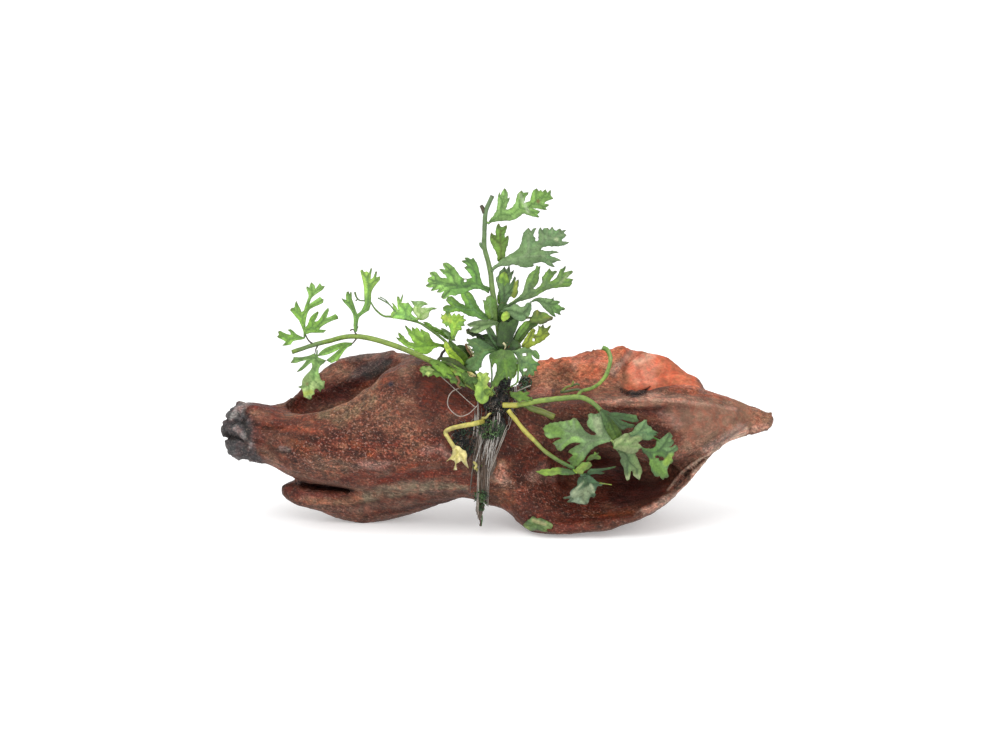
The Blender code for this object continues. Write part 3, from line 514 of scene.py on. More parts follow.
def nylon_material():
    """Clear line, a little milky, that picks up tones from behind."""
    made, tree, shader = new_material("clear_line")
    cloud = grain_at(tree, object_place(tree), 300.0, 2.0)
    colour = blend_colour(tree, "MULTIPLY", 1.0, NYLON_COLOUR, ramp(tree, cloud, [(0.3, 0.75), (0.7, 1.0)]))
    plug_all(tree, shader, Base_Color=colour, Roughness=ramp(tree, cloud, [(0.3, 0.12), (0.7, 0.26)]),
             Transmission_Weight=0.5, IOR=1.5)
    return made


# The driftwood

WOOD_NODES = ("driftwood_body", "driftwood_snout", "driftwood_lower_prong", "driftwood_back_fin",
              "driftwood_torn_stub", "driftwood_scoop")

# In metres: how far the forks are swollen so that they overlap, the cells of their remeshes, and how low the
# wood may reach
FORK_OVERLAP = 0.00022
FIRST_VOXEL = 0.0006
LAST_VOXEL = 0.00053
LOWEST = 0.00002

# Where the torn stub is in the part's frame, in millimetres, and the charred end's edge and the row that it
# leans from
STUB_LEFT, STUB_RIGHT, STUB_BOTTOM = 6, 42, 37.5
CHARRED_EDGE = -66.4
CHARRED_ROW = 430

# Nearest and furthest depth of the parts of the wood that a stroke is kept to
LEFT_FRONT = (-30, 1)
RIDGE = (-40, -4)
RIDGE_TOP = (-40, 0)
HOLLOW = (-14, 40)
STUB_FOOT = (-12, 40)
STUB = (-8, 40)
DISC = (-6, 40)
GULLY = (0, 40)
FIN_SIDE = (2, 40)
BEHIND = (3, 40)
FIN_TOP = (5, 40)
ANY_DEPTH = (-40, 40)

# Ellipsoids that deepen the wood's hollows: middle, half sizes and turn about Y in degrees
CARVINGS = [
    ((33, -5, 14.2), (17, 9.6, 5), -4), ((24, -8, 17), (11, 8, 6), 12), ((45, -9.5, 13.6), (8, 6, 3.2), -18),
    ((-50, 5, 31.8), (8.5, 4.8, 5.2), -14), ((-42, 5.2, 34.5), (9, 5, 6.6), -16),
    ((-34.5, 4.6, 38.5), (7.5, 4, 5.6), -28), ((-30, 4.2, 42), (4.6, 2.6, 3.4), -30),
    ((-48, -4.5, 10.4), (8.6, 7, 0.9), 3),
]

# Wood added to the forks, as column, row, depth and radius in millimetres along each piece: the outer lip,
# the back of the slot over the lower prong, the fin's ragged end, and knobs of the charred end
ADDED_WOOD = [
    """710,455.5,-7.4,0.5 705,460,-7.8,0.65 698.5,466.5,-8.2,0.75 691,476,-8.8,0.75 683,484,-9.6,0.75
    674,491,-10.5,0.7""",
    "299,481,4.4,1 312,481,4.2,2.2 332,481,4.2,2.4",
    "300,401,7,1.6 293,400.5,7,1.2 288.5,402.5,7,0.8",
    "238,409,-3,2.2 245,408,-2,2.4",
    "226,431,-3.5,1.3 230,427,-4,1.8 236,428,-4.5,2",
    "236,447,-4.5,2.6 243,449,-5,2.6",
]

# Moves of the surface: the way in millimetres, the range of depth, and the stroke
PUSHES = [
    ((0, 0, 0.8), FIN_TOP, "338,359,4 360,357,5 380,354,5 393,352,3"),
    ((1.1, 0, 0), ANY_DEPTH, "225,438,1.8 228,438,1.6"),
    ((0.5, 0, 0), ANY_DEPTH, "227,419,1.6"),
    ((0.5, 0, 0.5), ANY_DEPTH, "771,413,2.5"),
    ((0, 0, 1.0), ANY_DEPTH, "751,431,2.4 748,433,2.4"),
    ((0.5, 0, -0.3), ANY_DEPTH, "766,428,2.2"),
    ((0, 0, 0.7), BEHIND, "541,362,4 551,360,3.5"),
    ((0, 0, -0.6), BEHIND, "559,362,2.4"),
    ((0, 0, 0.5), BEHIND, "594,352,1.6"),
]

# Strokes that carve into the front: depth, and the stroke as column, row and half width in squares.
# A depth below nought raises the wood
FRONT_CUTS = [
    (1.5, "707,457,1 699,462,1.4 692,467.5,1.7 686,474,1.7 681,481,1.5 675,488,1.1"),
    (-0.45, "712,452,1.2 701,458.5,1.3 692,464,1.4 684,470.5,1.4 677,479,1.4 671,487,1.3"),
    (1.6, "622,391,2 630,394,2.8 638,394.5,2.8 645,391.5,2.2"),
    (0.7, "650,351,1.1 637,355,1.2 627,364,1.2 623.5,373,1.2 627,383,1.3 636,390,1.4"),
    (-0.7, "645,396,3 660,391,3.4 676,387,3 696,391,2.4"),
    (0.5, "612,411,2.6 640,410,2.6 664,410,2.4"),
    (-0.6, "590,401.5,1.2 615,400.5,1.4 640,398.5,1.6 680,400.5,1.6 720,406.5,1.4"),
    (0.7, "391,384,3.2"),
    (-0.5, "391,384,1.2"),
    (0.9, "263,428,1.4 269,426.5,2.2 282,427,1.4"),
    (0.5, "276,432,1.4"),
    (0.6, "258,440,1.2 266,445,1.5 274,449.5,1.2"),
    (0.7, "280,449,2 290,451,1.8"),
    (0.6, "259,453,1.2 266,454,1.2"),
    (0.5, "253,423,1.4 259,425,1.6"),
    (-0.4, "250,420,2 258,418,2.4 266,420,2"),
    (0.7, "249,408,1.2 247,416,1.4 244,422,1.4"),
    (1.2, "226,420,1.2 232,424.5,1.4 238,421,1.4 243,423,1.2"),
    (1.3, "226,437,1.3 231,436.5,1.5 237,438,1.3 244,441,1.1"),
    (0.8, "224,426,0.9 226,432,1.2"),
    (0.7, "236,411,1 241,417,1.1"),
    (0.5, "240,430,1 248,433,1.2"),
    (-0.5, "232,433,1.2 237,427,1.2"),
    (-0.4, "300,427,3 318,431,3.5 330,438,3"),
    (0.5, "300,436,2.5 322,444,3 340,450,2.5"),
    (-0.5, "395,472,3 415,465,3 440,458,3"),
    (0.5, "380,481,3 420,473,3.4 455,470,3"),
    (-0.5, "430,489,2 460,488,2"),
    (0.5, "440,493,3 466,494,3"),
    (0.6, "345,490,2 356,492,2"),
    (-0.6, "310,503,3 345,502,3 375,497,3"),
    (0.8, "553,391,1.6 557,393,1.4"),
    (-0.5, "631,353,2 622,364,2.4 612,375,2.4"),
    (0.4, "520,480,4 548,480,4"),
]

# The wood's paint on the front: tone, strength, the stroke and, for some, its range of depth
FRONT_PAINT = [
    # Charred end
    ("charcoal", 1.0, "226,430,9 236,414,13 245,432,13 240,446,13 232,440,9"),
    # The ash strokes are pale ash and partly painted highlights on the charred knobs
    ("ash_and_highlight", 0.75, "232,417,3.4 241,407,4.4 249,404,3.4"),
    ("ash_and_highlight", 0.6, "236,428,3.4 245,437,3.4 250,446,3"),
    ("soot_and_shade", 0.9, "225,434,3 233,438,3"),
    ("soot_and_shade", 0.8, "243,421,2.5 249,431,3 247,447,3"),
    ("maroon", 0.85, "253,406,5 263,404,5 273,408,4"),
    ("maroon", 0.5, "256,432,6 262,444,7"),
    ("pink_brown", 0.45, "256,415,5 268,420,5"),
    ("pink_brown", 0.35, "262,450,4 276,462,5"),
    # Left body
    ("rust", 0.5, "264,423,3 280,430,3 300,428,3.4 318,432,4 328,438,3"),
    ("rust_light", 0.6, "302,427,2 310,430,2.4 321,432,2.4"),
    ("rust", 0.35, "276,412,4 300,416,5 318,420,5"),
    ("rust_brown", 0.6, "296,442,8 306,452,8"),
    ("bark_dark", 0.6, "290,435,3 310,438,4 326,448,4"),
    # The slit strokes are cracks darkened with painted shade
    ("slit_shade", 0.5, "256,424,1.2 266,427,1.6 277,431,1.2"),
    ("slit_shade", 0.45, "262,436,1.1 275,441,1.3 286,443,1"),
    ("slit_shade", 0.7, "255,441,1.4 264,446,1.6"),
    ("ash_and_highlight", 0.45, "281,448,2.6 289,450,3"),
    ("slit_shade", 0.8, "283,452,1.5 293,453,1.5"),
    ("tan", 0.75, "288,414,3.5 310,410,4 332,406,4 350,399,5 362,392,5 376,383,6", LEFT_FRONT),
    ("olive_tan", 0.8, "322,414,6 345,410,8 340,421,7 372,400,7", LEFT_FRONT),
    ("bark_red", 0.5, "345,478,8 364,478,8 380,480,6"),
    ("orange_spot", 0.35, "346,440,4 360,447,5"),
    ("orange_spot", 0.7, "366,450,3 372,454,3.4"),
    ("violet", 0.65, "362,464,5 376,466,5 388,463,4"),
    ("tan", 0.35, "305,409,4 350,406,5", LEFT_FRONT),
    ("violet", 0.3, "302,496,4 328,498,5"),
    ("tan", 0.3, "318,462,12 338,468,12"),
    ("tan", 0.3, "372,400,10 385,420,12 405,428,12 420,440,8", LEFT_FRONT),
    ("knot_blue", 0.9, "391,384,3"),
    ("rust", 0.5, "380,385,3 386,380,3", LEFT_FRONT),
    ("pink_brown", 0.6, "398,356,5 412,362,7 404,372,7"),
    ("smooth_red", 0.9, "422,382,12 440,390,17 460,400,15 428,400,14 470,384,10"),
    ("bark_red", 0.6, "420,438,3 438,442,3 449,448,3"),
    ("violet", 0.55, "424,451,5 440,448,6 448,455,4"),
    ("rust", 0.8, "398,471,2.4 408,467,2.6 418,464,2.4"),
    ("bark_red", 0.8, "380,482,4 400,475,4.5 430,474,5 458,469,5"),
    ("grey_beige", 0.85, "360,499,5 385,492,8 412,488,7.5 440,485,4.5 466,488,3"),
    ("mauve_brown", 0.85, "360,508,4 385,506,4.5 415,501,4"),
    ("mauve_brown", 0.85, "428,493,4 452,494,5 470,495,4"),
    ("bark_dark", 0.7, "365,515,3 400,511,3 430,504,2.5 455,500,2"),
    # Lower prong
    ("maroon", 0.5, "286,490,4 300,496,5 330,498,4"),
    ("bark_red", 0.4, "328,495,2.6 346,495,3"),
    ("pink_brown", 0.5, "300,499,3 330,501,3.4"),
    # Painted shadow in the slot under the body, over the lower prong
    ("slit_shade", 1.0, "297,483,3 318,487,3.6 340,489,3 352,491,2"),
    ("tan", 0.8, "308,502,3.4 335,502,4 360,500,4"),
    ("mauve_brown", 0.8, "312,508,3 345,510,4 370,511,4"),
    # Fin and the gully behind the front ridge
    ("fin_grey", 0.9, "332,359,3 350,358,3.5 372,356,4 392,352,4", FIN_SIDE),
    ("pink_brown", 0.6, "322,372,6 336,368,8 350,372,7", FIN_SIDE),
    # The charcoal and soot strokes here are charred grey with painted shade of the hollow behind the fin
    ("charcoal", 0.75, "354,376,6 368,368,7 384,361,6", FIN_SIDE),
    ("soot_and_shade", 0.9, "366,377,5 377,371,4.5 389,361,4", FIN_SIDE),
    ("dark_maroon", 1.0, "322,392,9 338,391,10 352,386,8 364,381,5", GULLY),
    ("maroon", 0.8, "312,404,5 332,401,4 346,397,3", GULLY),
    ("rust", 0.6, "352,391,3 362,387,3 368,383,3", GULLY),
    ("fin_grey", 0.9, "287,403,4 292,398,3", GULLY),
    ("maroon", 0.6, "296,403,5 306,398,5", GULLY),
    # Waist, right of the line
    ("bark_dark", 0.5, "500,420,10 512,432,8"),
    ("smooth_red", 0.9, "504,430,10 510,450,11 522,456,9 535,448,8"),
    # The tan and pale pink strokes here are partly painted glints on the wet wood
    ("tan", 0.7, "494,476,7 508,480,8 503,466,7"),
    ("pale_pink_and_highlight", 0.7, "494,476,4 506,481,5 503,466,4"),
    ("rust_brown", 0.35, "494,492,6 510,500,6"),
    ("mauve_pale", 0.3, "496,476,6 508,480,6"),
    # Torn stub
    ("torn_brown", 1.0, "540,380,14 562,376,17 592,374,17 618,372,15", STUB),
    ("torn", 0.85, "531,371,5 541,364,6 552,361,4", STUB),
    ("torn", 0.95, "562,361,5 580,358,8 597,358,8", STUB),
    ("torn", 0.75, "585,370,9 597,372,8", STUB),
    ("torn_dark", 0.7, "560,370,6 574,377,7 556,376,5", STUB),
    ("torn_pink", 0.7, "532,393,5 548,392,6", STUB),
    ("torn_pink", 0.5, "574,367,5", STUB),
    ("torn_pink", 0.5, "574,360,5 598,359,6", STUB),
    ("torn", 0.7, "610,357,5 624,352,4", STUB),
    ("mauve_pale", 0.7, "632,350,3 624,360,4 613,373,5", STUB),
    ("pale_pink_and_highlight", 0.6, "636,352,2 627,360,2.4 620,368,2", STUB),
    ("torn_dark", 0.5, "620,382,4 626,388,3", STUB),
    ("tip_brown", 0.6, "598,394,8 615,388,8", STUB_FOOT),
    ("knot_blue", 0.7, "553,391,2.4", STUB_FOOT),
    ("disc", 1.0, "640,366,14 652,373,14 640,378,10", DISC),
    ("disc_orange", 1.0, "664,374,9 682,379,9 696,385,6", DISC),
    ("disc_light", 0.7, "636,362,5 648,356,5 656,352,4", DISC),
    ("torn_brown", 0.8, "650,350.5,1.1 637,355,1.2 627,363.5,1.2 623,373,1.2 627,383,1.3", DISC),
    # Front ridge before the disc, and the tip
    ("pink_brown", 1.0, "600,400,5 640,401,6 680,397,7 720,402,8", RIDGE),
    ("violet", 0.7, "642,392,3 652,386,3.6 668,384,3", RIDGE),
    ("pale_pink_and_highlight", 0.7, "650,394,4 662,392,5", RIDGE),
    ("orange_spot", 0.6, "676,387,4 694,390,5 706,392,4", RIDGE_TOP),
    ("tip_brown", 0.8, "712,395,5 732,398,5 748,408,6"),
    ("rust_light", 0.7, "672,388,4 692,392,4 712,394,4 728,399,3"),
    # Painted shade in the crevice under the disc
    ("crevice_shade", 1.0, "621,389,2 629,393.5,3.4 637,394.5,3.6 645,391,2.4 650,387,1.2"),
    # Painted highlight along the crest of the front ridge
    ("pale_pink_and_highlight", 0.85, "590,402,1.6 612,401,1.8 636,399,2.2 672,400,2.2 704,404,2 735,409,2", RIDGE_TOP),
    ("bark_dark", 0.85, "610,412,2.6 640,410,2.6 662,408,2.6"),
    # Forehead of the scoop
    ("smooth_red", 0.6, "630,420,8 645,426,9 652,442,7"),
    ("pink_brown", 0.9, "672,418,11 695,424,16 718,420,15 690,445,11"),
    ("violet", 0.4, "662,414,6 676,422,7"),
    ("rust", 0.3, "672,438,5 686,430,5"),
    ("tip_brown", 0.8, "745,414,8 758,417,8 771,415,5"),
    ("pale_pink_and_highlight", 0.85, "755,429,4 765,427,4"),
    ("mauve_pale", 0.7, "742,428,6 724,440,7 706,450,5"),
    # The pale rim strokes on the scoop's rim and lower lip are painted highlights, and the slit stroke in
    # the lip's groove is painted shade
    ("pale_rim_highlight", 0.8, "746,431,3.5 730,443,4 714,452,3"),
    ("pale_rim_highlight", 0.85, "708,461,3 700,468,4 690,480,5 674,495,5.5 654,507,4.5 636,514,3"),
    ("mauve_brown", 0.5, "690,478,1.4 674,492,1.6 656,505,1.4"),
    ("slit_shade", 0.95, "707,457,0.8 699,462,1.3 692,467.5,1.8 686,474,1.8 681,481,1.4 675,488,1"),
    ("pale_rim_highlight", 1.0, "712,452.5,1.3 701,458.5,1.5 691,465,1.6 683,471.5,1.6 676,480,1.5 668,490,1.4"),
    # Hollow and keel
    ("smooth_red", 0.75, "515,470,12 545,455,12 560,490,16 530,500,14"),
    ("violet", 0.4, "546,466,6 530,477,5 552,478,6"),
    ("mauve_brown", 0.5, "534,481,4 562,478,4"),
    # Painted shade in the scoop's hollow, under its lip
    ("hollow_shade", 1.0, "598,462,13 618,478,17 640,488,18 654,488,13 618,500,10", HOLLOW),
    ("smooth_red", 0.6, "586,462,9 602,472,10 612,490,8", HOLLOW),
    ("smooth_red", 0.9, "584,482,10 592,494,9 578,500,6"),
    ("smooth_red", 0.8, "520,513,7 560,518,7 600,517,4 640,514,3"),
    ("smooth_red", 0.8, "562,506,7 598,508,6"),
    ("mauve_brown", 0.4, "650,480,9", HOLLOW),
    ("rust_brown", 0.5, "585,514,3 610,514,3 632,512,2.4"),
]

# Where the grain is coarse and carries painted glints: strength and the stroke
SPECKLED = [
    (1.0, "300,455,18 340,450,34 385,440,34 425,445,24"),
    (0.8, "330,420,12 370,410,20 400,395,16"),
    (0.9, "500,474,12 535,490,20 560,505,14 600,515,6"),
    (0.6, "540,460,14 520,450,8"),
    (0.6, "540,378,14 570,380,12"),
]

# Where it is calm, smooth or even, and where the grain runs steeply or follows the scoop's rim
CALM = [
    (0.75, "428,380,12 452,396,16"),
    (0.85, "606,470,20 644,488,20"),
    (0.5, "360,504,8 420,500,6"),
    (0.6, "640,402,6 700,420,20 740,418,14"),
]
SMOOTH_HOLLOW = "600,470,20 645,488,20"
EVEN = "690,418,26 735,416,18"
STEEP = "320,385,16 345,375,18 375,368,14 392,362,10"
RINGED = "600,404,9 660,412,18 700,425,24 735,420,20 690,450,18 676,480,12"
RIM = """590,402 640,399 690,401 735,410 768,420 746,431 722,445 705,457 690,468 675,485 655,503 630,514
    590,519"""


def from_path(column, row, path):
    """How far each point is from a path of columns and rows, and how far along the path its foot is."""
    away, along, before = np.full(len(column), np.inf), np.zeros(len(column)), 0
    for (c0, r0), (c1, r1) in zip(path, path[1:]):
        dc, dr = c1 - c0, r1 - r0
        length = math.hypot(dc, dr)
        t = np.clip(((column - c0) * dc + (row - r0) * dr) / length ** 2, 0, 1)
        here = np.hypot(column - c0 - t * dc, row - r0 - t * dr)
        along = np.where(here < away, before + t * length, along)
        away = np.minimum(away, here)
        before += length
    return away, along


def fused_wood():
    """The forks' copies as one skin without their hairlines, with the hollows carved deeper."""
    wood = copy_of(WOOD_NODES, "driftwood")
    with edit_mode():
        bpy.ops.transform.shrink_fatten(value=FORK_OVERLAP)
    routes = []
    for words in ADDED_WOOD:
        points = places_in(words)
        path = smooth_path([drawn(*point[:3]) for point in points], 4)
        steps = np.linspace(0, len(points) - 1, len(path))
        radii = np.interp(steps, range(len(points)), [point[3] for point in points])
        routes.append((path, radii.tolist()))
    join(wood, wires("added_wood", routes, 10))
    apply(wood, "REMESH", mode="VOXEL", voxel_size=FIRST_VOXEL)
    ease_facets(wood, 30)
    for middle, size, turn in CARVINGS:
        bpy.ops.mesh.primitive_uv_sphere_add(
            segments=32, ring_count=20, radius=MM, location=(Vector(middle) + TO_MIDDLE) * MM,
            rotation=(0, math.radians(turn), 0), scale=size)
        cutter = bpy.context.object
        apply(wood, "BOOLEAN", operation="DIFFERENCE", object=cutter, solver="EXACT")
        bpy.data.objects.remove(cutter)
    apply(wood, "REMESH", mode="VOXEL", voxel_size=LAST_VOXEL)
    ease_facets(wood, 20)
    return wood


def facing(normals):
    """How much each surface faces the viewer."""
    return smooth_step((-(normals @ np.array(SIGHT)) + 0.15) / 0.35)


def noise_at(places, size, seed=0.0):
    """Smooth noise from -1 to 1 at each place, for a size in millimetres or one for each axis."""
    scaled = places / MM / np.array(size)
    return np.array([noise.noise(Vector((x + seed, y + seed * 1.7, z - seed))) for x, y, z in scaled])


def within(y, depths):
    """How much each depth is inside a range, with soft ends."""
    return smooth_step((y - depths[0]) / 1.2) * smooth_step((depths[1] - y) / 1.2)


def torn_and_charred(places, row):
    """How much each place belongs to the torn stub, and how much to the charred end."""
    x, z = places[:, 0] / MM, places[:, 2] / MM
    torn = smooth_step((x - STUB_LEFT) / 4) * smooth_step((z - STUB_BOTTOM) / 3)
    torn = torn * smooth_step((STUB_RIGHT - x) / 3)
    ragged = noise_at(places, 2.2, 15.0) * 1.6
    charred = smooth_step((CHARRED_EDGE + ragged + 0.12 * (row - CHARRED_ROW) - x) / 3)
    return torn, charred


def carve_wood(wood):
    """Moves, strokes, furrows and lumps in the wood's surface."""
    places, normals = places_of(wood), normals_of(wood)
    column, row = on_drawing(places)
    wander = noise_at(places, 2.6, 5.0) * 0.5
    front = facing(normals)
    y = places[:, 1] / MM
    depth = np.zeros(len(places))
    for cut, stroke in FRONT_CUTS:
        depth += cut * brush(column + wander, row - wander, stroke) * front
    torn, charred = torn_and_charred(places, row)
    rest = 1 - np.maximum(torn, charred)
    furrows = 1 - 2 * np.abs(noise_at(places, (26, 3.6, 3.6), 2.0))
    fine = noise_at(places, (7, 1.5, 1.5), 9.0)
    swells = noise_at(places, 6.5, 3.0)
    ridges = 1 - 2.2 * np.abs(noise_at(places, 1.7, 16.0))
    smooth = 1 - 0.8 * brush(column, row, SMOOTH_HOLLOW) * within(y, HOLLOW)
    rise = rest * smooth * (0.36 * (furrows - 0.62) + 0.16 * fine + 0.22 * swells + 0.1 * ridges)
    rise += torn * (0.5 * noise_at(places, 3.0, 1.0) + 0.4 * np.abs(noise_at(places, 1.4, 4.0)))
    pits = 1 - 2.4 * np.abs(noise_at(places, 2.2, 6.0))
    rise += charred * (0.6 * pits + 0.3 * noise_at(places, 1.3, 7.0))
    for way, depths, stroke in PUSHES:
        places += np.array(way) * MM * (brush(column, row, stroke) * within(y, depths))[:, None]
    places += normals * ((rise - depth) * MM)[:, None]
    places[:, 2] = np.maximum(places[:, 2], LOWEST)
    put_places(wood, places)
    return torn, charred


def broad_tones(places, normals, torn, charred, disc):
    """The wood's tones all round, as a colour for each vertex."""
    x, z = places[:, 0] / MM, places[:, 2] / MM
    broad = noise_at(places, (16, 7, 7), 11.0)
    middle = noise_at(places, (7, 2.6, 2.6), 12.0)
    colour = np.tile(tone("bark"), (len(places), 1))
    lay(colour, "bark_red", smooth_step((broad + 0.1) / 0.5) * 0.6)
    lay(colour, "bark_dark", smooth_step((-middle - 0.05) / 0.5) * 0.55)
    lay(colour, "tan", smooth_step((middle - 0.12) / 0.4) * 0.3)
    lay(colour, "pink_brown", smooth_step((x - 46) / 12) * 0.8)
    lay(colour, "pink_brown", smooth_step((-normals[:, 1] + 0.2) / -0.5) * smooth_step((z - 30) / 8) * 0.4)
    lay(colour, "mauve_brown", smooth_step((-normals[:, 2] - 0.2) / 0.5) * 0.8)
    lay(colour, "torn_brown", torn)
    lay(colour, "torn", torn * smooth_step((noise_at(places, 5.5, 14.0) + 0.1) / 0.35) * 0.85)
    lay(colour, "disc_orange", disc * 0.9)
    lay(colour, "charcoal", charred)
    lay(colour, "ash_and_highlight", charred * smooth_step((middle - 0.1) / 0.4) * 0.4)
    return colour


def paint_strokes(colour, places, front):
    """The strokes of the front, each a little astray so that its edge is ragged."""
    column, row = on_drawing(places)
    wander = 2.6 * noise_at(places, 2.2, 8.0) + 1.4 * noise_at(places, 0.9, 3.5)
    wander_too = 1.6 * noise_at(places, 2.0, 18.0) + 0.8 * noise_at(places, 0.9, 13.5)
    y = places[:, 1] / MM
    for name, strength, stroke, *depths in FRONT_PAINT:
        stray = min(1, max(width for _, _, width in places_in(stroke)) / 6) ** 1.3
        share = strength * brush(column + stray * wander, row + stray * wander_too, stroke) * front
        lay(colour, name, share * within(y, depths[0]) if depths else share)


def set_finish(wood, places, front, torn, charred, disc):
    """Where the wood is coarse, even, ringed, steep in grain or dry, for its material."""
    column, row = on_drawing(places)
    x, y = places[:, 0] / MM, places[:, 1] / MM
    speckle = np.full(len(places), 0.45) + 0.2 * (1 - front)
    for strength, stroke in SPECKLED:
        speckle = np.maximum(speckle, strength * brush(column, row, stroke) * front)
    for strength, stroke in CALM:
        speckle *= 1 - strength * brush(column, row, stroke) * front
    speckle *= (1 - 0.4 * torn) * (1 - 0.2 * charred) * (1 - 0.7 * disc)
    away, along = from_path(column, row, places_in(RIM))
    set_share(wood, "from_rim", away * SQUARE)
    set_share(wood, "along_rim", along * SQUARE)
    set_share(wood, "ringed", front * brush(column, row, RINGED) * smooth_step((-3 - y) / 3))
    set_share(wood, "even", np.clip(disc + brush(column, row, EVEN), 0, 1))
    set_share(wood, "steep", np.maximum(torn, brush(column, row, STEEP) * within(y, BEHIND)))
    set_share(wood, "speckle", np.clip(speckle, 0, 1))
    dry = np.maximum(torn, disc) + 0.3 * charred + smooth_step((x - 50) / 10) * 0.4
    set_share(wood, "dry", np.clip(dry, 0, 1))


def paint_wood(wood, torn, charred):
    """The wood's tones: broad ones all round, then the strokes of the front, some of which are painted shade
    and painted highlights.
    """
    places, normals = places_of(wood), normals_of(wood)
    x, y, z = (places / MM).T
    disc = smooth_step((y - 0.5) / 2) * smooth_step((x - 33.5) / 1.5) * smooth_step((56 - x) / 3)
    disc = disc * smooth_step((z - 34.5) / 2)
    front = facing(normals)
    colour = broad_tones(places, normals, torn, charred, disc)
    paint_strokes(colour, places, front)
    set_tint(wood, colour * WOOD_LIGHT)
    set_finish(wood, places, front, torn, charred, disc)


def make_wood():
    wood = fused_wood()
    torn, charred = carve_wood(wood)
    paint_wood(wood, torn, charred)
    shade_smooth(wood)
    return finish_piece(wood, driftwood_material(), WOOD_NODES)


# Leaves

LEAF_CELL = 0.36
LEAF_THICKNESS = 0.16

# Rims: how far lobes and bends are eased and how much of an edge has small teeth, as shares of the edge, and
# from tooth to tooth in millimetres
POINTED_EASE = 0.05
BEND_EASE = 0.22
TOOTHED_SHARE = 0.55
TOOTH_PITCH = 0.7

# Veins, in millimetres: how little room a way near the rim has, the least lobe, how many cells its tip is
# compared with, how far the leaf folds beside a vein, and the widths of what lies along it
RIM_EASE = 0.12
LEAST_LOBE = 1.2
TIP_STEPS = 4
FOLD_REACH = 2.2
RIB_HEIGHT = 0.07
RIB_WIDTH = 0.22
VEIN_WIDTH = 0.3
PALE_BAND = 0.75
BROWN_TIP = 0.75

